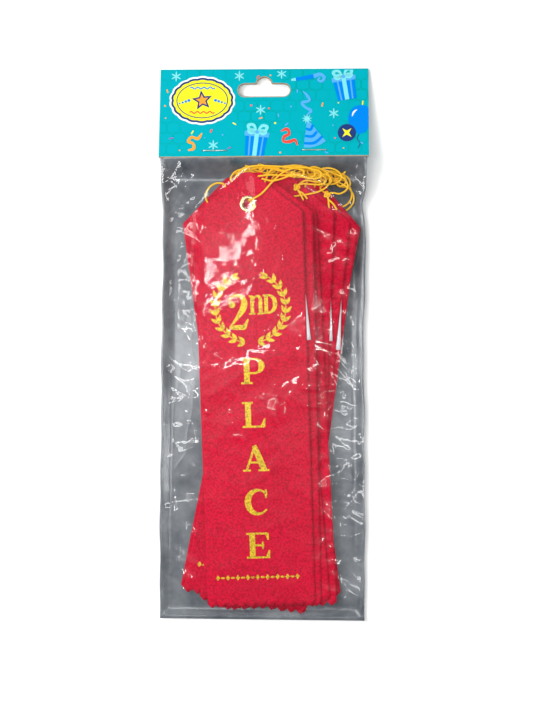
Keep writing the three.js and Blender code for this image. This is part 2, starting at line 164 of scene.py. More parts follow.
def finish_piece(piece: bpy.types.Object, body: str, material: bpy.types.Material,
                 stands_for: Iterable[str] = ()) -> bpy.types.Object:
    """Gives a piece its material, its body and the CAD nodes that it stands for."""
    piece.data.materials.clear()
    piece.data.materials.append(material)
    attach(piece, body)
    nodes = list(stands_for)
    if nodes:
        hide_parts(*nodes)
    return piece


def solidify(piece: bpy.types.Object, thickness: float, offset: float = 0.0) -> None:
    """Gives a surface a wall of that thickness in millimetres."""
    wall = piece.modifiers.new("wall", "SOLIDIFY")
    wall.thickness = thickness * MM
    wall.offset = offset
    wall.use_quality_normals = True


def smooth_path(points: Array, spacing: float) -> Array:
    """A centripetal Catmull-Rom curve through the points, at even steps.

    Between two points the curve is the cubic whose end slopes follow the neighbours,
    each weighted by the square root of its distance.

    Args:
        points: the points to pass through.
        spacing: the step along the curve, in the points' own unit.

    Returns:
        The points of the curve.
    """
    p = np.vstack([2 * points[0] - points[1], points, 2 * points[-1] - points[-2]])
    knots = np.concatenate([[0.0], np.cumsum(np.sqrt(np.linalg.norm(np.diff(p, axis=0), axis=1)))])
    t = np.linspace(0, 1, 24, endpoint=False)[None, :, None]
    k = [knots[i:len(knots) - 3 + i, None, None] for i in range(4)]
    q = [p[i:len(p) - 3 + i, None, :] for i in range(4)]
    t = k[1] + t * (k[2] - k[1])

    def mix(a: Array, b: Array, ka: Array, kb: Array) -> Array:
        """The point between a and b at the parameter t."""
        return ((kb - t) * a + (t - ka) * b) / (kb - ka)

    first = [mix(q[i], q[i + 1], k[i], k[i + 1]) for i in range(3)]
    second = [mix(first[i], first[i + 1], k[i], k[i + 2]) for i in range(2)]
    dense = np.vstack([mix(second[0], second[1], k[1], k[2]).reshape(-1, points.shape[1]), points[-1:]])
    walked = np.concatenate([[0.0], np.cumsum(np.linalg.norm(np.diff(dense, axis=0), axis=1))])
    even = np.linspace(0.0, walked[-1], max(4, int(walked[-1] / spacing)))
    return np.stack([np.interp(even, walked, dense[:, axis]) for axis in range(points.shape[1])], -1)


def relaxed(path: Array, reach: int) -> Array:
    """A line eased by a bell-shaped moving mean, with both ends kept in place.

    Args:
        path: the points, at even steps.
        reach: steps to each side that the mean takes in.

    Returns:
        The eased points.
    """
    bell = np.hanning(2 * reach + 3)[1:-1]
    bell /= bell.sum()
    before = 2 * path[0] - path[reach:0:-1]
    after = 2 * path[-1] - path[-2:-reach - 2:-1]
    padded = np.vstack([before, path, after])
    return np.stack([np.convolve(padded[:, axis], bell, "valid") for axis in range(path.shape[1])], -1)


def rounded_turns(points: Array, radius: float, sharpest: float = 95.0) -> Array:
    """A route whose hairpins get room: a corner that turns back is opened to a half circle about its tip.

    Args:
        points: the route's points.
        radius: of the half circle.
        sharpest: degrees that a corner may turn through and stay as it is.

    Returns:
        The route, with three points in place of each hairpin's one.
    """
    route = [points[0]]
    for before, tip, after in zip(points, points[1:], points[2:]):
        come, go = unit((tip - before)[:2]), unit((after - tip)[:2])
        if come @ go < math.cos(math.radians(sharpest)):
            out = unit(come - go)
            side = np.array([-out[1], out[0]]) * np.sign(come[0] * go[1] - come[1] * go[0])
            middle = tip[:2] - radius * out
            route += [np.append(middle - radius * side, tip[2]), tip,
                      np.append(middle + radius * side, tip[2])]
        else:
            route.append(tip)
    return np.array([*route, points[-1]])


def sweep(path: Array, radius: float, sides: int = 12, closed: bool = False, pitch: float = 1.0) -> Shape:
    """A round section carried along a path, with its u round the section and its v along the path.

    Args:
        path: the centre line.
        radius: of the section.
        sides: of the section.
        closed: joins the path's end to its start.
        pitch: length of path for one step of v.

    Returns:
        The tube, with rounded caps when it is open.
    """
    ahead = np.roll(path, -1, 0) - np.roll(path, 1, 0)
    if not closed:
        ahead[0], ahead[-1] = path[1] - path[0], path[-1] - path[-2]
    tangent = unit(ahead)
    normal = np.empty_like(tangent)
    start = vec(0, 0, 1) if abs(tangent[0][2]) < 0.8 else vec(1, 0, 0)
    normal[0] = unit(start - tangent[0] * start.dot(tangent[0]))
    for step in range(1, len(path)):
        carried = normal[step - 1] - tangent[step] * normal[step - 1].dot(tangent[step])
        normal[step] = unit(carried)
    side = np.cross(tangent, normal)
    turn = np.linspace(0, TAU, sides, endpoint=False)
    rings = [(path, 1.0)]
    if not closed:
        cap = [(0.55, 0.84), (0.88, 0.5), (1.0, 0.12)]
        rings = [*((path[:1] - tangent[:1] * radius * out, size) for out, size in reversed(cap)), (path, 1.0),
                 *((path[-1:] + tangent[-1:] * radius * out, size) for out, size in cap)]
    extra = 0 if closed else 3
    centre = np.vstack([line for line, _ in rings])
    size = np.concatenate([np.full(len(line), s) for line, s in rings]) * radius
    pick = np.clip(np.arange(len(centre)) - extra, 0, len(path) - 1)
    over, aside = np.cos(turn)[None, :, None], np.sin(turn)[None, :, None]
    ring = over * normal[pick][:, None] + aside * side[pick][:, None]
    points = centre[:, None] + ring * size[:, None, None]
    walked = np.concatenate([[0.0], np.cumsum(np.linalg.norm(np.diff(centre, axis=0), axis=1))])
    uv = np.stack(np.broadcast_arrays(np.arange(sides)[None, :] / sides, walked[:, None] / pitch), -1)
    quads = grid_quads(len(centre), sides, wrap_rows=closed, wrap_columns=True)
    faces = [quads[:, ::-1]]
    if not closed:
        last = (len(centre) - 1) * sides
        faces += [np.arange(sides)[None, :], (last + np.arange(sides))[None, ::-1]]
    return Shape(points.reshape(-1, 3), faces, uv.reshape(-1, 2))


def lathe(profile: Array, sides: int) -> Shape:
    """A closed profile of radius and height turned about Z.

    Args:
        profile: the points (radius, height), counter-clockwise with the axis on the left.
        sides: steps round the axis.

    Returns:
        The ring.
    """
    turn = np.linspace(0, TAU, sides, endpoint=False)
    radius, height = profile[:, 0][None, :], profile[:, 1][None, :]
    points = np.stack(np.broadcast_arrays(radius * np.cos(turn)[:, None], radius * np.sin(turn)[:, None],
                                          height), -1)
    quads = grid_quads(sides, len(profile), wrap_rows=True, wrap_columns=True)
    return Shape(points.reshape(-1, 3), [quads[:, ::-1]])


def arc(centre: Sequence[float], radius: float | tuple[float, float], start: float, end: float,
        steps: int = 24) -> Array:
    """Points of a circular or elliptical arc, with its angles in degrees."""
    turn = np.radians(np.linspace(start, end, steps))
    rx, ry = radius if isinstance(radius, tuple) else (radius, radius)
    return np.stack([centre[0] + rx * np.cos(turn), centre[1] + ry * np.sin(turn)], -1)


def stroke(line: Array, widths: Sequence[float] | float, level: float = 0.0) -> Shape:
    """A flat pen stroke: half a width to each side of a line, across its direction.

    Args:
        line: the points of the line, in two dimensions.
        widths: pen widths, spread evenly along the line.
        level: height of the stroke.

    Returns:
        A strip of quads.
    """
    line = np.asarray(line, float)
    if len(line) == 2:
        line = line[0] + (line[1] - line[0]) * np.linspace(0, 1, 5)[:, None]
    ahead = unit(np.gradient(line, axis=0))
    across = np.stack([-ahead[:, 1], ahead[:, 0]], -1)
    pens = np.atleast_1d(np.asarray(widths, float))
    width = np.interp(np.linspace(0, 1, len(line)), np.linspace(0, 1, max(2, len(pens))),
                      pens if len(pens) > 1 else np.repeat(pens, 2))
    edges = np.stack([line + across * width[:, None] / 2, line - across * width[:, None] / 2], 1)
    points = np.dstack([edges, np.full(edges.shape[:2], level)]).reshape(-1, 3)
    return Shape(points, [grid_quads(len(line), 2)[:, ::-1]])


def patch(outline: Array, level: float = 0.0) -> Shape:
    """A flat fan over a star-shaped outline, from its mean point."""
    outline = np.asarray(outline, float)
    points = np.vstack([outline.mean(0), outline])
    count = len(outline)
    ring = np.arange(count)
    faces = np.stack([np.zeros(count, int), 1 + ring, 1 + (ring + 1) % count], -1)
    area = np.sum(outline[:, 0] * np.roll(outline[:, 1], -1) - np.roll(outline[:, 0], -1) * outline[:, 1])
    return Shape(np.column_stack([points, np.full(len(points), level)]),
                 [faces if area > 0 else faces[:, ::-1]])


def moved(shape: Shape, shift: Sequence[float], scale: float = 1.0, turn: float = 0.0,
          rise: float = 0.0) -> Shape:
    """A flat shape scaled, turned by degrees, then shifted, and lifted by rise."""
    c, s = math.cos(math.radians(turn)), math.sin(math.radians(turn))
    flat = shape.points[:, :2] * scale @ np.array([[c, s], [-s, c]]) + vec(*shift)
    return Shape(np.column_stack([flat, shape.points[:, 2] + rise]), shape.faces, shape.uv, shape.tint)


# ---------------------------------------------------------------------------
# Finishes
# ---------------------------------------------------------------------------


class Nodes:
    """A short way to place shader nodes in one tree."""

    def __init__(self, tree: bpy.types.NodeTree) -> None:
        """Keeps the tree."""
        self.tree = tree

    def add(self, kind: str, values: dict[str, Any] | None = None, **settings: Any) -> bpy.types.Node:
        """Places a node.

        Args:
            kind: the node's type, without ShaderNode.
            values: socket name or number to a constant, or to an output socket to link.
            settings: the node's own properties.

        Returns:
            The node.
        """
        node = self.tree.nodes.new("ShaderNode" + kind)
        for key, value in settings.items():
            setattr(node, key, value)
        for key, value in (values or {}).items():
            self.plug(node.inputs[key], value)
        return node

    def plug(self, socket: bpy.types.NodeSocket, value: Any) -> None:
        """Links an output to a socket, or sets the socket's constant."""
        if isinstance(value, bpy.types.NodeSocket):
            self.tree.links.new(value, socket)
        elif isinstance(value, tuple) and len(value) == 3 and socket.type == "RGBA":
            socket.default_value = (*value, 1.0)
        else:
            socket.default_value = value

    def group(self, group: bpy.types.NodeTree, values: dict[str, Any]) -> bpy.types.Node:
        """Places a shared effect with its own values."""
        node = self.tree.nodes.new("ShaderNodeGroup")
        node.node_tree = group
        for key, value in values.items():
            self.plug(node.inputs[key], value)
        return node

    def math(self, operation: str, *values: Any) -> bpy.types.NodeSocket:
        """A Math node's output."""
        node = self.add("Math", dict(enumerate(values)), operation=operation)
        return node.outputs[0]

    def mix(self, factor: Any, a: Any, b: Any, blend: str = "MIX") -> bpy.types.NodeSocket:
        """A colour mix's output."""
        node = self.add("Mix", data_type="RGBA", blend_type=blend)
        for index, value in ((0, factor), (6, a), (7, b)):
            self.plug(node.inputs[index], value)
        return node.outputs[2]

    def ramp(self, factor: Any, low: float, high: float) -> bpy.types.NodeSocket:
        """A value brought from low..high to 0..1, clamped."""
        node = self.add("MapRange", {0: factor, 1: low, 2: high})
        return node.outputs[0]


def effect(name: str, inputs: dict[str, tuple[str, Any]],
           outputs: dict[str, str]) -> tuple[Any, Nodes, Any, Any]:
    """A node group with named sockets.

    Args:
        name: the group's name.
        inputs: socket name to its kind and its default.
        outputs: socket name to its kind.

    Returns:
        The group, its nodes, its input node and its output node.
    """
    group = bpy.data.node_groups.new(name, "ShaderNodeTree")
    for socket, (kind, default) in inputs.items():
        made = group.interface.new_socket(socket, in_out="INPUT", socket_type="NodeSocket" + kind)
        if default is not None:
            made.default_value = default
    for socket, kind in outputs.items():
        group.interface.new_socket(socket, in_out="OUTPUT", socket_type="NodeSocket" + kind)
    nodes = Nodes(group)
    return group, nodes, group.nodes.new("NodeGroupInput"), group.nodes.new("NodeGroupOutput")


class Effects:
    """The shared effects: cloudy colour, a woven height and fine crinkle."""

    def __init__(self) -> None:
        """Builds each group once."""
        self.cloud = self._cloud()
        self.weave = self._weave()
        self.crinkle = self._crinkle()

    @staticmethod
    def _cloud() -> bpy.types.NodeTree:
        """Two colours drifting into each other, and the same drift as a value."""
        group, n, given, out = effect(
            "cloudy colour",
            {"Vector": ("Vector", None), "Scale": ("Float", 40.0), "Strength": ("Float", 0.3),
             "Colour": ("Color", (1, 1, 1, 1)), "Shade": ("Color", (0, 0, 0, 1))},
            {"Colour": "Color", "Drift": "Float"})
        noise = n.add("TexNoise", {"Vector": given.outputs["Vector"], "Scale": given.outputs["Scale"],
                                   "Detail": 4.0, "Roughness": 0.6})
        drift = n.ramp(noise.outputs[0], 0.3, 0.7)
        mixed = n.mix(n.math("MULTIPLY", drift, given.outputs["Strength"]), given.outputs["Colour"],
                      given.outputs["Shade"])
        n.plug(out.inputs["Colour"], mixed)
        n.plug(out.inputs["Drift"], drift)
        return group

    @staticmethod
    def _weave() -> bpy.types.NodeTree:
        """Threads both ways: the larger of two sine waves, each broken by the other."""
        group, n, given, out = effect(
            "weave", {"Vector": ("Vector", None), "Across": ("Float", 300.0), "Along": ("Float", 300.0)},
            {"Height": "Float"})
        split = n.add("SeparateXYZ", {0: given.outputs["Vector"]})
        warp = n.math("SINE", n.math("MULTIPLY", split.outputs[0], given.outputs["Across"]))
        weft = n.math("SINE", n.math("MULTIPLY", split.outputs[1], given.outputs["Along"]))
        height = n.math("MAXIMUM", n.math("ABSOLUTE", warp),
                        n.math("MULTIPLY", n.math("ABSOLUTE", weft), 0.8))
        n.plug(out.inputs["Height"], height)
        return group

    @staticmethod
    def _crinkle() -> bpy.types.NodeTree:
        """Fine stretched wrinkles, as a height."""
        group, n, given, out = effect(
            "crinkle", {"Vector": ("Vector", None), "Scale": ("Float", 60.0)}, {"Height": "Float"})
        stretched = n.add("Mapping", {"Vector": given.outputs["Vector"], "Scale": (1.0, 0.45, 1.0),
                                      "Rotation": (0.0, 0.0, 0.7)})
        noise = n.add("TexNoise", {"Vector": stretched.outputs[0], "Scale": given.outputs["Scale"],
                                   "Detail": 3.0, "Roughness": 0.5, "Distortion": 0.6})
        ridge = n.math("ABSOLUTE", n.math("SUBTRACT", noise.outputs[0], 0.5))
        n.plug(out.inputs["Height"], n.math("SUBTRACT", 1.0, n.math("POWER", ridge, 0.6)))
        return group


def new_material(name: str) -> tuple[bpy.types.Material, Nodes, bpy.types.NodeSocket]:
    """An empty material, its nodes, and its surface socket."""
    material = bpy.data.materials.new(name)
    material.use_nodes = True
    material.node_tree.nodes.clear()
    nodes = Nodes(material.node_tree)
    output = nodes.add("OutputMaterial")
    return material, nodes, output.inputs["Surface"]


@dataclass(frozen=True)
class Satin:
    """Red acetate satin: fine warp threads, a soft sheen and a slow drift of tone."""

    base: Colour = (0.74, 0.0, 0.036)
    shade: Colour = (0.54, 0.0, 0.022)
    fleck: Colour = (0.22, 0.0, 0.01)
    threads: float = 640.0

    def make(self, effects: Effects) -> bpy.types.Material:
        """Builds the material."""
        material, n, surface = new_material("red satin")
        uv = n.add("TexCoord").outputs["UV"]
        place = n.add("TexCoord").outputs["Object"]
        tone = n.group(effects.cloud, {"Vector": place, "Scale": 28.0, "Strength": 0.55,
                                       "Colour": (*self.base, 1.0), "Shade": (*self.shade, 1.0)})
        weave = n.group(effects.weave, {"Vector": uv, "Across": self.threads, "Along": self.threads * 0.6})
        bump = n.add("Bump", {"Strength": 0.16, "Distance": 0.00006, "Height": weave.outputs[0]})
        grain = n.add("TexNoise", {"Vector": place, "Scale": 950.0, "Detail": 3.0, "Roughness": 0.7})
        speckle = n.math("MULTIPLY", n.ramp(grain.outputs[0], 0.42, 0.62), 0.6)
        woven = n.mix(speckle, tone.outputs[0], (*self.fleck, 1.0))
        shader = n.add("BsdfPrincipled", {
            "Base Color": woven, "Roughness": 0.6, "Specular IOR Level": 0.05,
            "Sheen Weight": 0.05, "Sheen Roughness": 0.4, "Sheen Tint": (1.0, 0.45, 0.5),
            "Normal": bump.outputs[0]})
        n.plug(surface, shader.outputs[0])
        return material


@dataclass(frozen=True)
class GoldGlitter:
    """Gold foil print broken into glitter flakes, each facing its own way."""

    base: Colour = (0.88, 0.6, 0.006)
    flake: Colour = (0.34, 0.2, 0.0)

    def make(self, effects: Effects) -> bpy.types.Material:
        """Builds the material."""
        material, n, surface = new_material("gold glitter")
        place = n.add("TexCoord").outputs["Object"]
        cells = n.add("TexVoronoi", {"Vector": place, "Scale": 2000.0})
        pick = n.add("SeparateColor", {0: cells.outputs["Color"]})
        tone = n.mix(n.math("POWER", pick.outputs[0], 1.6), (*self.base, 1.0), (*self.flake, 1.0))
        bump = n.add("Bump", {"Strength": 0.5, "Distance": 0.00008, "Height": pick.outputs[1]})
        rough = n.math("ADD", n.math("MULTIPLY", pick.outputs[2], 0.3), 0.25)
        shader = n.add("BsdfPrincipled", {"Base Color": tone, "Metallic": 0.25, "Roughness": rough,
                                          "Normal": bump.outputs[0]})
        n.plug(surface, shader.outputs[0])
        return material


@dataclass(frozen=True)
class ElasticCord:
    """Braided yellow elastic: crossed plies round the cord, with painted shade darkening the grooves between
    them.
    """

    base: Colour = (1.0, 0.6, 0.006)
    # the darker yellow is painted shade for the grooves of the braid
    shade: Colour = (0.95, 0.4, 0.001)

    def make(self, effects: Effects) -> bpy.types.Material:
        """Builds the material."""
        material, n, surface = new_material("elastic cord")
        uv = n.add("Mapping", {"Vector": n.add("TexCoord").outputs["UV"], "Scale": (5.0, 1.0, 1.0),
                               "Rotation": (0.0, 0.0, 0.6)})
        weave = n.group(effects.weave, {"Vector": uv.outputs[0], "Across": 6.0, "Along": 6.0})
        # painted shade: the colour goes to the darker yellow where the weave is low, in the grooves between
        # the plies
        tone = n.mix(n.math("SUBTRACT", 1.0, weave.outputs[0]), (*self.base, 1.0), (*self.shade, 1.0))
        bump = n.add("Bump", {"Strength": 0.5, "Distance": 0.0001, "Height": weave.outputs[0]})
        shader = n.add("BsdfPrincipled", {"Base Color": tone, "Roughness": 0.5, "Specular IOR Level": 0.4,
                                          "Subsurface Weight": 0.0, "Normal": bump.outputs[0]})
        n.plug(surface, shader.outputs[0])
        return material


@dataclass(frozen=True)
class Brass:
    """Thin polished brass with a faint tarnish."""

    base: Colour = (0.86, 0.73, 0.34)
    shade: Colour = (0.45, 0.31, 0.1)

    def make(self, effects: Effects) -> bpy.types.Material:
        """Builds the material."""
        material, n, surface = new_material("eyelet brass")
        place = n.add("TexCoord").outputs["Object"]
        tone = n.group(effects.cloud, {"Vector": place, "Scale": 600.0, "Strength": 0.35,
                                       "Colour": (*self.base, 1.0), "Shade": (*self.shade, 1.0)})
        rough = n.math("ADD", n.math("MULTIPLY", tone.outputs[1], 0.12), 0.2)
        shader = n.add("BsdfPrincipled", {"Base Color": tone.outputs[0], "Metallic": 1.0, "Roughness": rough})
        n.plug(surface, shader.outputs[0])
        return material


@dataclass(frozen=True)
class StapleWire:
    """Bright drawn wire with fine lines along it."""

    base: Colour = (0.66, 0.65, 0.62)

    def make(self, effects: Effects) -> bpy.types.Material:
        """Builds the material."""
        material, n, surface = new_material("staple wire")
        place = n.add("TexCoord").outputs["Object"]
        lines = n.add("TexNoise", {"Vector": place, "Scale": 2500.0, "Detail": 2.0})
        rough = n.math("ADD", n.math("MULTIPLY", lines.outputs[0], 0.25), 0.22)
        tone = n.group(effects.cloud, {"Vector": place, "Scale": 500.0, "Strength": 0.3,
                                       "Colour": (*self.base, 1.0), "Shade": (0.35, 0.33, 0.3, 1.0)})
        shader = n.add("BsdfPrincipled", {"Base Color": tone.outputs[0], "Metallic": 1.0, "Roughness": rough})
        n.plug(surface, shader.outputs[0])
        return material


@dataclass(frozen=True)
class CardStock:
    """White uncoated card with ruled lines to fill in, drawn across its UV."""

    base: Colour = (0.78, 0.78, 0.8)
    rule: Colour = (0.3, 0.3, 0.34)

    def make(self, effects: Effects) -> bpy.types.Material:
        """Builds the material."""
        material, n, surface = new_material("event card")
        uv = n.add("SeparateXYZ", {0: n.add("TexCoord").outputs["UV"]})
        row = n.math("FRACT", n.math("MULTIPLY", uv.outputs[1], 7.0))
        line = n.math("LESS_THAN", n.math("ABSOLUTE", n.math("SUBTRACT", row, 0.5)), 0.02)
        inside = n.math("MULTIPLY", n.math("GREATER_THAN", uv.outputs[0], 0.12),
                        n.math("LESS_THAN", uv.outputs[0], 0.88))
        lower = n.math("LESS_THAN", uv.outputs[1], 0.78)
        mask = n.math("MULTIPLY", n.math("MULTIPLY", line, inside), lower)
        place = n.add("TexCoord").outputs["Object"]
        paper = n.group(effects.cloud, {"Vector": place, "Scale": 1500.0, "Strength": 0.12,
                                        "Colour": (*self.base, 1.0), "Shade": (0.6, 0.59, 0.56, 1.0)})
        tone = n.mix(mask, paper.outputs[0], (*self.rule, 1.0))
        bump = n.add("Bump", {"Strength": 0.15, "Distance": 0.00004, "Height": paper.outputs[1]})
        shader = n.add("BsdfPrincipled", {"Base Color": tone, "Roughness": 0.75, "Normal": bump.outputs[0]})
        n.plug(surface, shader.outputs[0])
        return material


@dataclass(frozen=True)
class HeaderStock:
    """Printed card: turquoise with a faint pattern of rounded tiles, and raw kraft where it is cut."""

    base: Colour = (0.0, 0.37, 0.44)
    tile: Colour = (0.0, 0.31, 0.29)
    kraft: Colour = (0.42, 0.29, 0.17)
    tile_size: float = 0.0062
    raw_edge: float = 0.00042
    free_edge: float = 0.088
    slot_at: float = 0.1212
    slot_reach: float = 0.0093
    slot_half: float = 0.0032
    bump: tuple[float, float] = (0.0036, 0.0033)

    def make(self, effects: Effects) -> bpy.types.Material:
        """Builds the material. The card is raw for a fraction of a millimetre along its cut edges:
        the free edge, the round-ended slot and the half ellipse over it."""
        material, n, surface = new_material("header card")
        place = n.add("TexCoord").outputs["Object"]
        split = n.add("SeparateXYZ", {0: place})
        across = n.math("DIVIDE", split.outputs[0], self.tile_size)
        along = n.math("DIVIDE", split.outputs[1], self.tile_size * 0.85)
        shift = n.math("MULTIPLY", n.math("FLOOR", along), 0.5)
        cell_x = n.math("ABSOLUTE", n.math("SUBTRACT", n.math("FRACT", n.math("ADD", across, shift)), 0.5))
        cell_y = n.math("ABSOLUTE", n.math("SUBTRACT", n.math("FRACT", along), 0.5))
        reach = n.math("ADD", n.math("POWER", n.math("MULTIPLY", cell_x, 2.15), 4.0),
                       n.math("POWER", n.math("MULTIPLY", cell_y, 2.15), 4.0))
        gap = n.math("MULTIPLY", n.ramp(reach, 0.7, 1.0), n.ramp(reach, 1.7, 1.1))
        patchy = n.add("TexNoise", {"Vector": place, "Scale": 45.0, "Detail": 1.0})
        faint = n.math("MULTIPLY", gap, n.ramp(patchy.outputs[0], 0.4, 0.62))
        ink = n.mix(faint, (*self.base, 1.0), (*self.tile, 1.0))
        fibre = n.group(effects.cloud, {"Vector": place, "Scale": 900.0, "Strength": 0.5,
                                        "Colour": (*self.kraft, 1.0), "Shade": (0.25, 0.16, 0.09, 1.0)})
        torn = n.math("MULTIPLY", n.math("SUBTRACT", fibre.outputs[1], 0.5), self.raw_edge * 0.5)
        x, y = n.math("ABSOLUTE", split.outputs[0]), n.math("ADD", split.outputs[1], torn)
        free = n.math("LESS_THAN", y, self.free_edge + self.raw_edge)
        beyond = n.math("MAXIMUM", n.math("SUBTRACT", x, self.slot_reach), 0.0)
        over = n.math("SUBTRACT", y, self.slot_at)
        away = n.math("SQRT",
                      n.math("ADD", n.math("MULTIPLY", beyond, beyond), n.math("MULTIPLY", over, over)))
        slot = n.math("LESS_THAN", away, self.slot_half + self.raw_edge * 0.8)
        aside = n.math("POWER", n.math("DIVIDE", x, self.bump[0] + self.raw_edge), 2.0)
        above = n.math("SUBTRACT", over, self.slot_half)
        risen = n.math("DIVIDE", above, self.bump[1] + self.raw_edge)
        up = n.math("POWER", n.math("MAXIMUM", risen, 0.0), 2.0)
        bump_rim = n.math("MULTIPLY", n.math("LESS_THAN", n.math("ADD", aside, up), 1.0),
                          n.math("GREATER_THAN", above, 0.0))
        raw = n.math("MAXIMUM", free, n.math("MAXIMUM", slot, bump_rim))
        tone = n.mix(raw, ink, fibre.outputs[0])
        rough = n.math("ADD", n.math("MULTIPLY", raw, 0.3), 0.6)
        bump = n.add("Bump", {"Strength": 0.12, "Distance": 0.00005, "Height": fibre.outputs[1]})
        shader = n.add("BsdfPrincipled", {"Base Color": tone, "Roughness": rough, "Specular IOR Level": 0.03,
                                          "Normal": bump.outputs[0]})
        n.plug(surface, shader.outputs[0])
        return material


@dataclass(frozen=True)
class PrintInk:
    """Offset inks in the colours of the tint attribute, with a faint tooth of the card."""

    def make(self, effects: Effects) -> bpy.types.Material:
        """Builds the material."""
        material, n, surface = new_material("header inks")
        ink = n.add("Attribute", attribute_name="Tint")
        place = n.add("TexCoord").outputs["Object"]
        grain = n.add("TexNoise", {"Vector": place, "Scale": 1400.0, "Detail": 2.0})
        worn = n.math("MULTIPLY", grain.outputs[0], 0.12)
        tone = n.mix(worn, ink.outputs["Color"], (0.0, 0.35, 0.4, 1.0))
        shader = n.add("BsdfPrincipled", {"Base Color": tone, "Roughness": 0.6, "Specular IOR Level": 0.03})
        n.plug(surface, shader.outputs[0])
        return material


@dataclass(frozen=True)
class ClearFilm:
    """Clear glossy film: nearly all light goes through. A broad soft sheen lies over it, and its sharp
    mirror grows where it turns away. Only its outer faces shine."""

    name: str = "clear film"
    through: Colour = (0.965, 0.97, 0.975)
    veil: float = 0.014
    veil_roughness: float = 0.34
    mirror: float = 0.015
    roughness: float = 0.06
    crinkle: float = 0.3

    def make(self, effects: Effects) -> bpy.types.Material:
        """Builds the material."""
        material, n, surface = new_material(self.name)
        place = n.add("TexCoord").outputs["Object"]
        crinkle = n.group(effects.crinkle, {"Vector": place, "Scale": 70.0})
        bump = n.add("Bump", {"Strength": self.crinkle, "Distance": 0.0004, "Height": crinkle.outputs[0]})
        gloss = n.add("BsdfPrincipled", {"Base Color": (1.0, 1.0, 1.0, 1.0), "Metallic": 1.0,
                                         "Roughness": self.roughness, "Normal": bump.outputs[0]})
        sheen = n.add("BsdfPrincipled", {"Base Color": (1.0, 1.0, 1.0, 1.0), "Metallic": 1.0,
                                         "Roughness": self.veil_roughness, "Normal": bump.outputs[0]})
        clear = n.add("BsdfTransparent", {"Color": (*self.through, 1.0)})
        facing = n.add("LayerWeight", {"Blend": 0.12, "Normal": bump.outputs[0]})
        outer = n.math("SUBTRACT", 1.0, n.add("NewGeometry").outputs["Backfacing"])
        veiled = n.add("MixShader", {0: n.math("MULTIPLY", outer, self.veil), 1: clear.outputs[0],
                                     2: sheen.outputs[0]})
        share = n.math("ADD", n.math("MULTIPLY", facing.outputs["Fresnel"], 0.6), self.mirror)
        share = n.math("MULTIPLY", share, outer)
        mixed = n.add("MixShader", {0: share, 1: veiled.outputs[0], 2: gloss.outputs[0]})
        n.plug(surface, mixed.outputs[0])
        return material


@dataclass(frozen=True)
class BackFilmPaintedShade:
    """The back film, seen with no light behind it: painted shade, a slate grey that stands in for the dark
    seen through clear film, with a soft gloss.
    """

    # painted shade: a slate grey and a darker grey in place of the dark seen through clear film
    base: Colour = (0.26, 0.275, 0.29)
    shade: Colour = (0.05, 0.062, 0.078)

    def make(self, effects: Effects) -> bpy.types.Material:
        """Builds the material."""
        material, n, surface = new_material("back film")
        place = n.add("TexCoord").outputs["Object"]
        # partly painted reflections: the drift between the two greys makes lighter blotches like the
        # reflections of a crinkled film
        tone = n.group(effects.cloud, {"Vector": place, "Scale": 42.0, "Strength": 1.0,
                                       "Colour": (*self.base, 1.0), "Shade": (*self.shade, 1.0)})
        crinkle = n.group(effects.crinkle, {"Vector": place, "Scale": 60.0})
        bump = n.add("Bump", {"Strength": 0.5, "Distance": 0.0004, "Height": crinkle.outputs[0]})
        shader = n.add("BsdfPrincipled", {"Base Color": tone.outputs[0], "Roughness": 0.22,
                                          "Specular IOR Level": 0.6, "Normal": bump.outputs[0]})
        clear = n.add("BsdfTransparent", {"Color": (0.8, 0.84, 0.88, 1.0)})
        mixed = n.add("MixShader", {0: 0.93, 1: clear.outputs[0], 2: shader.outputs[0]})
        n.plug(surface, mixed.outputs[0])
        return material


@dataclass
class Finishes:
    """Every finish of the pack, made once."""

    effects: Effects = field(default_factory=Effects)

    def __post_init__(self) -> None:
        """Builds the materials."""
        self.satin = Satin().make(self.effects)
        self.gold = GoldGlitter().make(self.effects)
        self.cord = ElasticCord().make(self.effects)
        self.brass = Brass().make(self.effects)
        self.wire = StapleWire().make(self.effects)
        self.card = CardStock().make(self.effects)
        self.header = HeaderStock().make(self.effects)
        self.ink = PrintInk().make(self.effects)
        self.film = ClearFilm().make(self.effects)
        self.back = BackFilmPaintedShade().make(self.effects)


# ---------------------------------------------------------------------------
# Lie of the pack
# ---------------------------------------------------------------------------


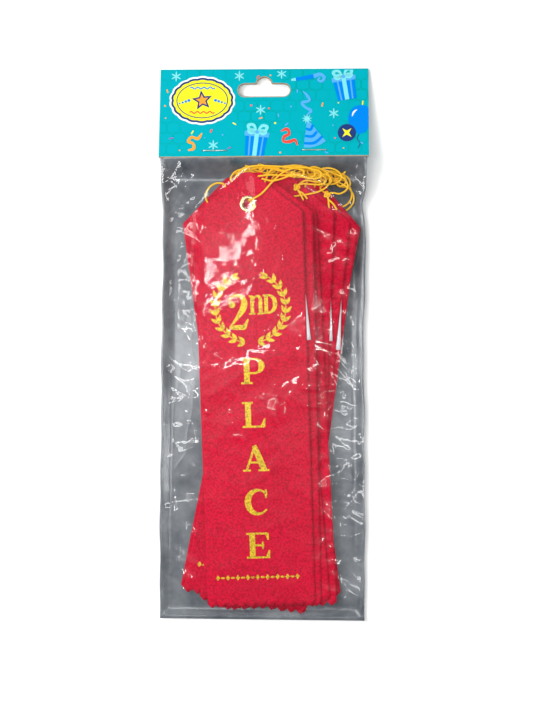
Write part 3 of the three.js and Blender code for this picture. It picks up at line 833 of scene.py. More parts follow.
@dataclass(frozen=True)
class Lie:
    """Heights of the layers of the pack over the table."""

    top: float = 132.0
    header_height: float = 44.0
    header_width: float = 100.0
    header_mid: float = 0.7
    header_lift: float = 7.2
    header_twist: float = 1.2
    bag_width: float = 98.5
    film: float = 0.15
    film_gap: float = 0.1
    edge_height: float = 2.6
    seal_height: float = 1.9
    bag_shoulder: float = 60.0
    stack_top: float = 82.0
    back_top: float = 79.0
    foot_room: float = 5.0
    flat_half: float = 43.0
    cover: float = 1.38
    bare_cover: float = 0.32
    front_eyelet: float = 16.0
    front_foot: float = 5.65
    step_eyelet: float = 1.6
    step_foot: float = 0.55
    eyelet_line: float = 65.0
    foot_line: float = -126.0

    @property
    def header_free(self) -> float:
        """Y of the header's free edge."""
        return self.top - self.header_height

    def header_rise(self, x: Array, y: Array) -> Array:
        """Rise of the header: in proportion to the way from the fold, and more at the right."""
        twist = self.header_twist * x / (self.header_width / 2)
        return (self.top - y) / self.header_height * (self.header_lift + twist)

    def ribbon(self, back: int, y: Array) -> Array:
        """Height of the plane of the ribbon that lies `back` places behind the front one."""
        eyelet = self.front_eyelet - back * self.step_eyelet
        foot = self.front_foot - back * self.step_foot
        return foot + (eyelet - foot) * (y - self.foot_line) / (self.eyelet_line - self.foot_line)

    def seam(self, x: Array, y: Array) -> Array:
        """Height of the seam between the films: side folds, bottom seal, and the mouth in the header."""
        bag = self.seal_height + (self.edge_height - self.seal_height) * ease(y, -self.top, -self.top / 2)
        mouth = self.header_mid + self.header_rise(x, np.maximum(y, self.header_free))
        return bag + (mouth - bag) * ease(y, self.bag_shoulder, self.header_free)

    def front(self, x: Array, y: Array) -> Array:
        """Underside of the front film: over the stack, and down to the seam all round."""
        cover = self.bare_cover + (self.cover - self.bare_cover) * ease(y, 40.0, 56.0)
        stack = self.ribbon(0, np.minimum(y, self.stack_top)) + cover
        seam = self.seam(x, y) + self.film_gap / 2
        side = np.sqrt(np.maximum(0.0, 1.0 - np.abs(x / (self.bag_width / 2)) ** 10))
        foot = ease(y, -self.top, -self.top + self.foot_room)
        ends = (1.0 - ease(y, self.stack_top, self.header_free)) * foot
        return seam + np.maximum(0.0, stack - seam) * side * ends

    def back(self, x: Array, y: Array) -> Array:
        """Underside of the back film: flat on the table, and up to the seam at the sides and ends."""
        seam = self.seam(x, y) - self.film_gap / 2 - self.film
        side = ease(np.abs(x), self.flat_half, self.bag_width / 2) ** 1.5
        ends = np.maximum(ease(y, self.back_top, self.header_free),
                          1.0 - ease(y, -self.top, -self.top + self.foot_room))
        return seam * np.maximum(side, ends)


LIE = Lie()


def ripple(x: Array, y: Array) -> Array:
    """The slow swell that all the stacked layers share: two crossed waves, below the event cards only,
    so that a card can turn flat against its ribbon."""
    waves = 0.5 * np.sin(x / 8.0 + y / 37.0) + 0.5 * np.sin(y / 16.0 - x / 23.0 + 1.0)
    return 0.11 * waves * ease(y, -6.0, -36.0)


@dataclass(frozen=True)
class Placement:
    """Where a hung piece lies: its eyelet's centre, and its directions across, along and out."""

    origin: Array
    across: Array
    along: Array
    out: Array

    @staticmethod
    def of(node: str, joint: str) -> "Placement":
        """Reads a placement off the frame.

        Args:
            node: a CAD node that is symmetrical about its length.
            joint: the joint at its eyelet.

        Returns:
            The placement, with the length pointing from the node's centroid to the eyelet.
        """
        pin = next(j for j in frame["joints"] if j["name"] == joint)
        origin = vec(*pin["pos_m"]) / MM
        out = unit(vec(*pin["axis"]))
        mesh = bpy.data.objects[node].data
        points = np.empty(len(mesh.vertices) * 3)
        mesh.vertices.foreach_get("co", points)
        index = np.empty(len(mesh.polygons) * 3, np.int64)
        mesh.polygons.foreach_get("vertices", index)
        corners = points.reshape(-1, 3)[index].reshape(-1, 3, 3)
        area = np.linalg.norm(np.cross(corners[:, 1] - corners[:, 0], corners[:, 2] - corners[:, 0]), axis=1)
        centroid = (corners.mean(1) * area[:, None]).sum(0) / area.sum() / MM
        along = origin - centroid
        along = unit(along - out * along.dot(out))
        return Placement(origin, np.cross(along, out), along, out)

    def place(self, u: Array, v: Array, level: Array | float) -> Array:
        """Points at u across, v along and a level over the plane, on the shared swell."""
        u, v, level = np.broadcast_arrays(u, v, level)
        flat = self.origin + u[..., None] * self.across + v[..., None] * self.along
        return flat + self.out * (level + ripple(flat[..., 0], flat[..., 1]))[..., None]

    def laid(self, shape: Shape) -> Shape:
        """A shape drawn flat over u and v, laid on the piece."""
        p = shape.points
        return Shape(self.place(p[:, 0], p[:, 1], p[:, 2]), shape.faces, shape.uv, shape.tint)


def hung_strip(placement: Placement, rows: Array, half: Array, columns: int, level: float, foot_teeth: float,
               bore: float) -> Shape:
    """A flat piece with a hole for its eyelet, on a grid of its own outline.

    Every row runs from side to side of the outline. The cells over the bore are taken out,
    and the points round that gap are drawn onto the bore's circle.

    Args:
        placement: where it lies.
        rows: v of each row, from the head to the foot.
        half: half width of each row.
        columns: number of cells across.
        level: height over the plane.
        foot_teeth: depth of the pinked teeth, four cells to a tooth, or 0.
        bore: radius of the hole.

    Returns:
        The surface, with u and v in the UV map, one for each full width.
    """
    share = np.linspace(-1, 1, columns + 1)
    u = half[:, None] * share[None, :]
    v = np.repeat(rows[:, None], columns + 1, 1)
    tooth = np.abs(1.0 - (np.arange(columns + 1) % 4) / 2.0) * foot_teeth
    v[-1] += tooth
    v[-2] += tooth * 0.5
    width = 2 * half.max()
    quads = grid_quads(len(rows), columns + 1)[:, ::-1]
    centre_u = u.ravel()[quads].mean(1)
    centre_v = v.ravel()[quads].mean(1)
    reach = bore * 1.05
    gap = (np.abs(centre_u) < reach) & (np.abs(centre_v) < reach)
    rim = np.intersect1d(quads[gap], quads[~gap])
    uf, vf = u.ravel(), v.ravel()
    size = np.hypot(uf[rim], vf[rim])
    uf[rim] *= bore / size
    vf[rim] *= bore / size
    used, faces = np.unique(quads[~gap], return_inverse=True)
    uv = np.stack([uf / width + 0.5, vf / width], -1)[used]
    return Shape(placement.place(uf[used], vf[used], level), [faces.reshape(-1, 4)], uv)


# ---------------------------------------------------------------------------
# Ribbons
# ---------------------------------------------------------------------------


class Mark(Enum):
    """The generic ranking marks printed on every ribbon."""

    TWO = "2"
    N = "N"
    D = "D"
    P = "P"
    L = "L"
    A = "A"
    C = "C"
    E = "E"


def rounded(*points: tuple[float, float]) -> Array:
    """A smooth line through the points, in steps of a quarter of a millimetre."""
    return smooth_path(np.array(points, float), 0.25)


def straight(x0: float, y0: float, x1: float, y1: float, width: Sequence[float] | float) -> Shape:
    """A straight pen stroke."""
    return stroke(np.array([[x0, y0], [x1, y1]]), width)


def letter(mark: Mark) -> Shape:
    """One printed mark in pen strokes: thick stems, thin bars and flat serifs.

    Args:
        mark: which one. The three of the ranking share the wreath's centre as their origin,
            and the letters of the word each have their own centre.

    Returns:
        The flat shape.
    """
    if mark is Mark.TWO:
        bowl = rounded((-9.2, 1.6), (-10.1, 3.2), (-9.2, 5.4), (-6.8, 6.3), (-4.2, 5.4), (-3.0, 2.9),
                       (-3.5, 0.0),
                       (-5.6, -3.4), (-8.2, -6.7), (-10.3, -9.4))
        return Shape.joined([
            stroke(bowl, [1.5, 1.0, 1.1, 1.8, 2.9, 3.2, 2.7, 1.8, 1.1, 0.8]),
            patch(arc((-9.1, 1.7), 1.55, 0, 345, 20)),
            straight(-10.7, -9.6, -3.0, -9.6, [1.4, 2.4, 2.4]),
            straight(-3.6, -10.2, -1.3, -5.6, [2.4, 0.7])])
    if mark is Mark.N:
        arch = rounded((1.0, 3.2), (2.2, 5.0), (3.8, 5.6), (4.9, 4.4), (5.0, 1.0), (5.0, -2.9))
        return Shape.joined([
            straight(0.9, 5.6, 0.9, -3.0, 1.7), stroke(arch, [0.7, 0.9, 1.5, 1.9, 1.8, 1.8]),
            straight(-0.7, 5.7, 1.2, 5.5, 0.8), straight(-0.6, -3.1, 2.3, -3.1, 0.75),
            straight(3.5, -3.1, 6.3, -3.1, 0.75)])
    if mark is Mark.D:
        bowl = rounded((7.2, 5.8), (9.4, 5.8), (11.5, 4.4), (12.2, 1.6), (11.5, -1.2), (9.4, -2.7),
                       (7.2, -2.8))
        return Shape.joined([straight(7.8, 6.0, 7.8, -3.0, 1.8),
                             stroke(bowl, [0.8, 1.0, 1.9, 2.2, 1.9, 1.0, 0.8]),
                             straight(6.2, 5.85, 8.2, 5.85, 0.75), straight(6.2, -2.85, 8.2, -2.85, 0.75)])
    foot = straight(-5.9, -5.95, -0.2, -5.95, 0.95)
    stem = straight(-3.0, -6.0, -3.0, 6.0, 2.8)
    head = straight(-5.9, 5.95, -0.6, 5.95, 0.95)
    if mark is Mark.P:
        bowl = np.vstack([vec(-2.0, 5.9), arc((0.9, 2.4), (3.5, 3.5), 88, -88, 26), vec(-2.0, -1.1)])
        return Shape.joined([stem, foot, head, stroke(bowl, [0.95, 1.1, 2.4, 3.1, 2.4, 1.1, 0.95])])
    if mark is Mark.L:
        return Shape.joined([stem, head, straight(-5.9, -5.95, 4.9, -5.95, 0.95),
                             straight(4.2, -5.9, 5.2, -1.9, [2.2, 0.6])])
    if mark is Mark.A:
        return Shape.joined([
            straight(-4.6, -5.9, -0.3, 6.2, 1.1), straight(-0.6, 6.4, 4.1, -5.9, [2.2, 3.0, 3.0, 3.0]),
            straight(-3.1, -2.0, 2.4, -2.0, 0.95), straight(-6.4, -5.95, -2.6, -5.95, 0.95),
            straight(1.2, -5.95, 6.6, -5.95, 0.95)])
    if mark is Mark.C:
        bow = arc((0.6, 0.0), (5.2, 5.9), 42, 322, 60)
        return Shape.joined([stroke(bow, [0.9, 1.1, 2.2, 3.1, 3.1, 2.2, 1.1, 0.8]),
                             straight(4.5, 6.2, 4.5, 1.9, [0.9, 1.3, 0.7])])
    return Shape.joined([
        stem, straight(-5.9, 5.95, 4.7, 5.95, 0.95), straight(4.3, 6.2, 4.9, 2.7, [1.9, 0.6]),
        straight(-2.0, 0.1, 2.2, 0.1, 0.95), straight(2.2, 2.0, 2.2, -1.8, [0.6, 1.2, 0.6]),
        straight(-5.9, -5.95, 5.0, -5.95, 0.95), straight(4.5, -6.2, 5.4, -2.3, [2.2, 0.6])])


@dataclass(frozen=True)
class GoldPrint:
    """The foil print: a laurel wreath round the ranking, the word below it and a row of ornaments."""

    level: float = 0.1
    wreath_at: tuple[float, float] = (-0.5, -48.5)
    wreath_radius: float = 16.6
    pairs: int = 11
    first_angle: float = 10.6
    last_angle: float = 148.0
    leaf_length: float = 4.3
    leaf_width: float = 1.75
    leaf_spread: float = 34.0
    mark_scale: float = 0.95
    word_at: tuple[float, float] = (-0.4, -78.2)
    word_pitch: float = 20.65
    row_at: tuple[float, float] = (-1.3, -175.9)
    row_width: float = 39.6

    def leaf(self) -> Shape:
        """A leaf along +X from the origin: two equal arcs, widest a little before the middle."""
        t = np.linspace(0, 1, 7)
        half = self.leaf_width / 2 * np.sin(np.pi * t ** 0.8)
        upper = np.stack([t * self.leaf_length, half], -1)
        lower = np.stack([t * self.leaf_length, -half], -1)[1:-1][::-1]
        return patch(np.vstack([lower[::-1], upper[::-1]]))

    def wreath(self) -> Shape:
        """Pairs of leaves up both branches, and one leaf at each tip."""
        leaf = self.leaf()
        parts = []
        for side in (-1, 1):
            for step, angle in enumerate(np.linspace(self.first_angle, self.last_angle, self.pairs)):
                a = math.radians(angle)
                at = (side * self.wreath_radius * math.sin(a), -self.wreath_radius * math.cos(a))
                ahead = angle if side > 0 else 180.0 - angle
                spreads = (self.leaf_spread,
                           -self.leaf_spread) if step < self.pairs - 1 else (self.leaf_spread * side, 0.0)
                parts += [moved(leaf, at, turn=ahead + spread) for spread in spreads]
            branch = arc((0, 0), self.wreath_radius, -90 + side * self.first_angle,
                         -90 + side * self.last_angle, 60)
            parts.append(stroke(branch, [0.5, 0.35]))
        return Shape.joined(parts)

    def ornaments(self) -> Shape:
        """A row of diamonds and short bars."""
        diamond = patch(np.array([[1.0, 0], [0, 1.35], [-1.0, 0], [0, -1.35]]))
        bar = straight(-0.9, 0, 0.9, 0, [0.5, 1.1, 0.5])
        xs = np.linspace(-self.row_width / 2 + 1, self.row_width / 2 - 1, 17)
        return Shape.joined([moved(bar if number % 2 else diamond, (x, 0)) for number, x in enumerate(xs)])

    def shape(self) -> Shape:
        """The whole print, flat."""
        marks = [moved(letter(m), self.wreath_at, self.mark_scale) for m in (Mark.TWO, Mark.N, Mark.D)]
        word = [moved(letter(m), (self.word_at[0], self.word_at[1] - number * self.word_pitch),
                      self.mark_scale)
                for number, m in enumerate((Mark.P, Mark.L, Mark.A, Mark.C, Mark.E))]
        flat = Shape.joined([moved(self.wreath(), self.wreath_at), *marks, *word,
                             moved(self.ornaments(), self.row_at)])
        return Shape(flat.points + vec(0, 0, self.level), flat.faces)


@dataclass
class HungRibbon:
    """One ribbon with its print and eyelet, turning on its cord."""

    number: int
    finishes: Finishes
    width: float = 51.0
    length: float = 205.0
    thickness: float = 0.14
    apex_width: float = 3.8
    shoulder_drop: float = 18.7
    eyelet_drop: float = 14.7
    teeth: int = 11
    tooth_depth: float = 2.0
    bore: float = 2.65
    cells_across: int = 44
    eyelet_sides: int = 64

    def __post_init__(self) -> None:
        """Reads where the ribbon hangs."""
        self.tag = f"{self.number:02d}"
        self.body = f"hung_ribbon_{self.tag}"
        self.joint = next(j for j in frame["joints"] if j["name"] == f"ribbon_{self.tag}_swing")
        self.placement = Placement.of(f"ribbon_{self.tag}", f"ribbon_{self.tag}_swing")

    def rows(self) -> Array:
        """V of the rows: close together round the eyelet and at the foot."""
        head = np.linspace(self.eyelet_drop, 4.2, 12)[:-1]
        eye = np.linspace(4.2, -4.2, 11)
        body = np.linspace(-4.2, self.eyelet_drop - self.length + self.tooth_depth + 0.8, 80)[1:]
        return np.concatenate([head, eye, body, [self.eyelet_drop - self.length]])

    def half_width(self, v: Array) -> Array:
        """Half width at v: the slope of the head, up to the full half width."""
        slope = (self.width - self.apex_width) / 2 / self.shoulder_drop
        return np.minimum(self.width / 2, self.apex_width / 2 + (self.eyelet_drop - v) * slope)

    def covers(self, u: Array, v: Array, margin: float) -> Array:
        """Whether a place on its plane lies on the ribbon or within a margin of it."""
        on = (v < self.eyelet_drop + margin) & (v > self.eyelet_drop - self.length - margin)
        return on & (np.abs(u) < self.half_width(v) + margin)

    def strip(self) -> bpy.types.Object:
        """The satin itself."""
        v = self.rows()
        shape = hung_strip(self.placement, v, self.half_width(v), self.cells_across, 0.0, self.tooth_depth,
                           self.bore)
        piece = shape.build(f"satin_{self.tag}")
        solidify(piece, self.thickness)
        finish_piece(piece, self.body, self.finishes.satin, [f"ribbon_{self.tag}"])
        return piece

    def gold_print(self, flat: Shape) -> bpy.types.Object:
        """The gold print, laid on the satin."""
        piece = self.placement.laid(flat).build(f"gold_print_{self.tag}")
        return finish_piece(piece, self.body, self.finishes.gold)

    def eyelet(self) -> bpy.types.Object:
        """The brass eyelet: a barrel with a rolled flange in front and a flat one behind."""
        profile = np.array([
            (2.3, -0.22), (2.4, -0.3), (2.75, -0.345), (3.5, -0.345), (3.78, -0.32), (3.8, -0.27),
            (2.56, -0.262),
            (2.56, 0.098), (3.74, 0.1), (3.84, 0.15), (3.8, 0.23), (3.55, 0.32), (3.2, 0.36), (2.85, 0.345),
            (2.55, 0.26), (2.38, 0.14), (2.3, 0.0)])
        ring = lathe(profile, self.eyelet_sides)
        at = self.placement
        u, v, w = ring.points[:, :1], ring.points[:, 1:2], ring.points[:, 2:]
        turned = at.origin + u * at.across + v * at.along + w * at.out
        piece = Shape(turned, ring.faces).build(f"brass_eyelet_{self.tag}")
        return finish_piece(piece, self.body, self.finishes.brass, [f"eyelet_{self.tag}"])


@dataclass
class EventCard:
    """The card behind a ribbon, to be filled in: it swivels on the same eyelet."""

    number: int
    finishes: Finishes
    width: float = 43.5
    rise: float = 9.0
    drop: float = 66.5
    inset: float = 2.0
    thickness: float = 0.13
    behind: float = 0.1
    bore: float = 2.65
    cells_across: int = 36
    shoulder_slope: float = 18.7 / (25.5 - 1.9)
    apex_half: float = 1.9
    apex_drop: float = 14.7

    def __post_init__(self) -> None:
        """Takes the card's place and joint."""
        joint = f"event_card_{self.number:02d}_swivel"
        self.placement = Placement.of(f"event_card_{self.number:02d}", joint)
        self.joint = next(j for j in frame["joints"] if j["name"] == joint)

    def half_width(self, v: Array) -> Array:
        """Half width at a height v over the eyelet: straight sides, and shoulders inset from the ribbon's."""
        slant = self.apex_half + (self.apex_drop - self.inset - v) / self.shoulder_slope
        return np.minimum(self.width / 2, slant)

    def covers(self, u: Array, v: Array, margin: float) -> Array:
        """Whether a place on its plane lies on the card or within a margin of it."""
        within = (v < self.rise + margin) & (v > -self.drop - margin)
        return within & (np.abs(u) < self.half_width(v) + margin)

    def build(self) -> bpy.types.Object:
        """The card, with its own UV from corner to corner."""
        tag = f"{self.number:02d}"
        v = np.concatenate([np.linspace(self.rise, 4.2, 6)[:-1], np.linspace(4.2, -4.2, 11),
                            np.linspace(-4.2, -self.drop, 24)[1:]])
        level = -self.behind - self.thickness / 2
        shape = hung_strip(self.placement, v, self.half_width(v), self.cells_across, level, 0.0, self.bore)
        shape.uv[:, 1] = (shape.uv[:, 1] * self.width + self.drop) / (self.rise + self.drop)
        piece = shape.build(f"blank_card_{tag}")
        solidify(piece, self.thickness)
        return finish_piece(piece, f"hung_card_{tag}", self.finishes.card,
                            [f"event_card_{tag}"])


# ---------------------------------------------------------------------------
# Cords
# ---------------------------------------------------------------------------

FRONT_LEVEL = 0.8
BACK_LEVEL = -0.83
CLEAR_LEVEL = -0.08
F, B, M = FRONT_LEVEL, BACK_LEVEL, CLEAR_LEVEL


@dataclass(frozen=True)
class LoopRoute:
    """The way of one elastic loop: x, y, and height over the plane of its own ribbon, in millimetres."""

    front: Sequence[Point]
    back: Sequence[Point]
    knot: Point
    tails: Sequence[Sequence[Point]]


LOOPS: tuple[LoopRoute, ...] = (
    LoopRoute(
        front=((-3.4, 67.2, F), (-0.2, 69.2, F), (4.5, 74.4, F), (9, 78.6, 0.3), (13.5, 80.7, 0.25),
               (20, 81.2, 0.25), (26, 79.8, 0.25), (27.6, 77, 0.25), (21, 76.4, 0.2)),
        back=((-7.4, 70, B), (-8.2, 75, B), (-8, 80.6, -0.5), (-4, 82, M), (4, 82, M), (12, 81.4, M),
              (19.6, 79.6, M), (18.6, 77.6, M)),
        knot=(14.2, 78, 0),
        tails=(((9, 77.6, 0.2), (3.6, 77.8, 0.7), (-1.8, 77.2, 0.72)), ((9.4, 76.2, 0.3),
               (4.6, 75, 0.72), (0, 76, 0.72)))),
    LoopRoute(
        front=((-1, 70, F), (1.2, 75, F), (3.6, 80, 0.4), (8.4, 82, M), (16, 82.2, M), (22.6, 81, M),
               (24.8, 78, M), (18, 77.4, M), (8.6, 80, M)),
        back=((-2.4, 70, B), (-2, 75.5, B), (0, 80.6, -0.5), (7, 82.2, M), (15, 81, M),
              (19.6, 78.6, M), (13, 78.6, M), (6.4, 81.4, M)),
        knot=(-0.8, 82, M),
        tails=(((-4, 81.8, M), (-7.8, 82.4, M)), ((-4.4, 81, M), (-9, 80.6, M)))),
    LoopRoute(
        front=((-9.6, 69, F), (-11, 75, F), (-11.2, 79.8, F), (-8.4, 82, 0.1), (-2, 82.8, M),
               (4, 82.4, M), (6, 80.4, M), (0, 79.8, M), (-7, 81.2, 0.1), (-13, 80, 0.5),
               (-15.2, 75.6, F)),
        back=((-8.2, 69, B), (-8.4, 75, B), (-8.4, 80.4, -0.5), (-3, 81.4, M), (2.6, 80.4, M),
              (-3, 79.4, M), (-9.6, 80.8, 0.4), (-13, 77, F)),
        knot=(-14.4, 71.6, 0.66),
        tails=(((-18, 74.2, F), (-22.4, 74.4, 0.7), (-26, 71.4, F), (-26.8, 67.6, F), (-25, 64.3, F)),
               ((-16.4, 68, F), (-18.6, 65, F)))),
    LoopRoute(
        front=((1.4, 69, F), (3.2, 74, F), (6, 79.2, 0.4), (12, 82, M), (20, 82, M), (26, 79.4, M),
               (27.4, 76, M), (20.6, 76.4, M)),
        back=((-0.4, 69.4, B), (0.6, 75, B), (2.8, 80.2, -0.5), (9, 81, M), (17, 79.4, M), (24, 78, M),
              (30, 77, M), (26.4, 74.2, M), (20, 74.6, M)),
        knot=(15.9, 73, M),
        tails=(((17.4, 70.4, M), (19, 67.2, M)), ((18, 71, M), (20.8, 67.8, M)))),
    LoopRoute(
        front=((11.4, 68.2, F), (15, 68.9, F), (21.6, 69.9, F), (27.8, 71.8, 0.3), (31.3, 75, M),
               (31.2, 79, M), (26.3, 82.3, M), (20.6, 81, M)),
        back=((8.4, 73, B), (8.4, 79, B), (9.4, 82.4, -0.5), (15, 83.6, M), (21.6, 82.4, M),
              (28, 79.4, M), (32.6, 76, M), (27, 75.4, M)),
        knot=(24.5, 79, M),
        tails=(((27.6, 78.6, M), (30.6, 80, M)), ((27, 77.2, M), (29.8, 76, M)))),
    LoopRoute(
        front=((18, 69, F), (20.4, 75, F), (23.6, 80, 0.2), (29, 82.6, M), (35, 81.4, M),
               (37.4, 78, M), (34, 75.2, M), (28.4, 74.6, 0.3), (26.8, 72.8, F)),
        back=((16.6, 69, B), (17.4, 75, B), (19, 80.8, -0.5), (25, 82.4, M), (32, 80.6, M),
              (38.6, 77.4, M), (40.2, 73.2, 0), (36, 70.2, 0.4)),
        knot=(30.3, 70, 0.62),
        tails=(((31, 66.8, F), (31.2, 63.4, F)), ((32.4, 66.6, F), (34.8, 63, F)))),
    LoopRoute(
        front=((21.6, 68, F), (24.4, 74, F), (25.4, 79.4, 0.4), (22, 81.8, M), (16.4, 80.6, M),
               (18, 78, 0.1), (28, 80.8, M), (31.4, 79.6, M)),
        back=((20, 68, B), (20.6, 74, B), (21.4, 79.6, -0.5), (27, 81.4, M), (33, 81.4, M),
              (38, 79.6, M), (39.4, 76, M), (36, 74, M)),
        knot=(34.4, 76.8, M),
        tails=(((37, 75.6, M), (39.8, 73.8, M)), ((36.4, 78.8, M), (38.8, 81, M)))),
    LoopRoute(
        front=((23.6, 69, F), (26.8, 75.2, F), (30, 79.4, 0.3), (36, 80.8, M), (40.4, 78.6, M),
               (41.4, 74.6, M), (36.6, 74.4, M), (29.6, 79.4, M), (23.6, 81.6, M)),
        back=((22.4, 69, B), (23.4, 75, B), (24.6, 79.8, -0.5), (29.6, 81.4, M), (34.6, 78.8, M),
              (31, 77.8, M), (23, 80, M), (16, 80.2, M), (14.6, 82, M)),
        knot=(18.6, 82.2, M),
        tails=(((15.6, 80.8, M), (12, 80.8, M)), ((20, 80, M), (20, 77, M)))),
    LoopRoute(
        front=((-14.2, 70, F), (-15.6, 76, F), (-15.6, 79.6, F), (-12.6, 81.4, 0), (-6, 81.6, M),
               (1, 81, M), (8, 79.6, M), (8, 77.6, M), (1.6, 78.2, M)),
        back=((-12.6, 70, B), (-13.2, 76, B), (-12.6, 80.4, -0.5), (-6, 79.6, M), (1, 76.6, M),
              (9, 77.6, M), (13.6, 80, M), (8, 81.6, M), (0, 80.4, M)),
        knot=(-3.4, 78.4, M),
        tails=(((-6.2, 79.8, M), (-9.4, 80.8, M)), ((-4.6, 81, M), (-7, 81.8, M)))),
    LoopRoute(
        front=((28, 65.4, F), (34, 65, F), (38.6, 65.4, F), (41.6, 68.2, 0.3), (42.2, 72, M),
               (40.2, 76.4, M), (36.4, 79.4, M)),
        back=((28, 63.4, B), (34.6, 62.4, B), (39.6, 63.6, B), (43, 67.2, -0.4), (43, 71, M),
              (40.6, 74.4, M), (36.8, 76.6, M)),
        knot=(31.6, 79.8, M),
        tails=(((34.4, 77.8, M), (36.6, 74.8, M)), ((34.6, 79.6, M), (37.8, 77.8, M)))),
)


@dataclass
class ElasticLoop:
    """One loop of elastic: two strands from the eyelet to an overhand knot, and on to their cut ends."""

    number: int
    finishes: Finishes
    diameter: float = 0.85
    bore_offset: tuple[float, float] = (0.5, 1.5)
    step: float = 0.25
    ease_steps: int = 10
    turn_radius: float = 2.2
    sides: int = 12
    braid_pitch: float = 1.4
    knot_size: float = 0.46

    def __post_init__(self) -> None:
        """Takes the loop's route and the place of its eyelet."""
        self.tag = f"{self.number:02d}"
        self.lines: list[Array] = []
        self.route = LOOPS[self.number - 1]
        self.pin = Placement.of(f"ribbon_{self.tag}", f"ribbon_{self.tag}_swing")

    def at(self, points: Sequence[Point]) -> Array:
        """Route points over the plane of the loop's own ribbon."""
        p = np.array(points, float).reshape(-1, 3)
        p[:, 2] += LIE.ribbon(self.number - 1, p[:, 1])
        return p

    def strand(self, side: str, level: float, leg: Sequence[Point],
               tail: Sequence[Point]) -> bpy.types.Object:
        """One strand, as a tube along its own line from the bore.

        Args:
            side: front or back.
            level: height at which it turns over the eyelet's flange.
            leg: the way from the eyelet to the knot.
            tail: the way from the knot to the cut end.

        Returns:
            The strand.
        """
        x, y = self.pin.origin[0] + self.bore_offset[0], self.pin.origin[1] + self.bore_offset[1]
        bore = [(x, y, 0.0), (x, y, level * 0.8)]
        route = rounded_turns(self.at([*leg, self.route.knot, *tail]), self.turn_radius)
        path = relaxed(smooth_path(np.vstack([self.at(bore), route]), self.step), self.ease_steps)
        self.lines.append(path)
        shape = sweep(path, self.diameter / 2, self.sides, pitch=self.braid_pitch)
        piece = shape.build(f"elastic_{self.tag}_{side}")
        cad = [f"cord_{self.tag}"] if side == "front" else []
        finish_piece(piece, "root", self.finishes.cord, cad)
        return piece

    def build(self) -> None:
        """The overhand knot, a trefoil line pressed flat, and both strands."""
        t = np.linspace(0, TAU, 72, endpoint=False)
        trefoil = np.stack([np.sin(t) + 2 * np.sin(2 * t), np.cos(t) - 2 * np.cos(2 * t),
                            -0.95 * np.sin(3 * t)], -1)
        turn = 0.9 * self.number
        c, s = math.cos(turn), math.sin(turn)
        turned = trefoil @ np.array([[c, s, 0], [-s, c, 0], [0, 0, 1]])
        line = self.at([self.route.knot]) + turned * self.knot_size
        self.lines.append(line)
        shape = sweep(line, self.diameter / 2 * 1.05, self.sides, closed=True, pitch=self.braid_pitch)
        self.overhand = shape.build(f"elastic_{self.tag}_knot")
        finish_piece(self.overhand, "root", self.finishes.cord)
        self.strand("front", FRONT_LEVEL, self.route.front, self.route.tails[0])
        self.strand("back", BACK_LEVEL, self.route.back, self.route.tails[1])


# ---------------------------------------------------------------------------
# Header card
# ---------------------------------------------------------------------------


class Ink(Enum):
    """The print's inks, as linear colours."""

    NAVY = (0.018, 0.022, 0.16)
    WHITE = (0.86, 0.86, 0.86)
    YELLOW = (0.84, 0.80, 0.0)
    BLUE = (0.0, 0.2, 0.75)
    SKY = (0.09, 0.38, 0.85)
    AQUA = (0.2, 0.68, 0.72)
    RED = (1.0, 0.05, 0.02)
    ORANGE = (1.0, 0.33, 0.01)
    PURPLE = (0.3, 0.08, 0.42)


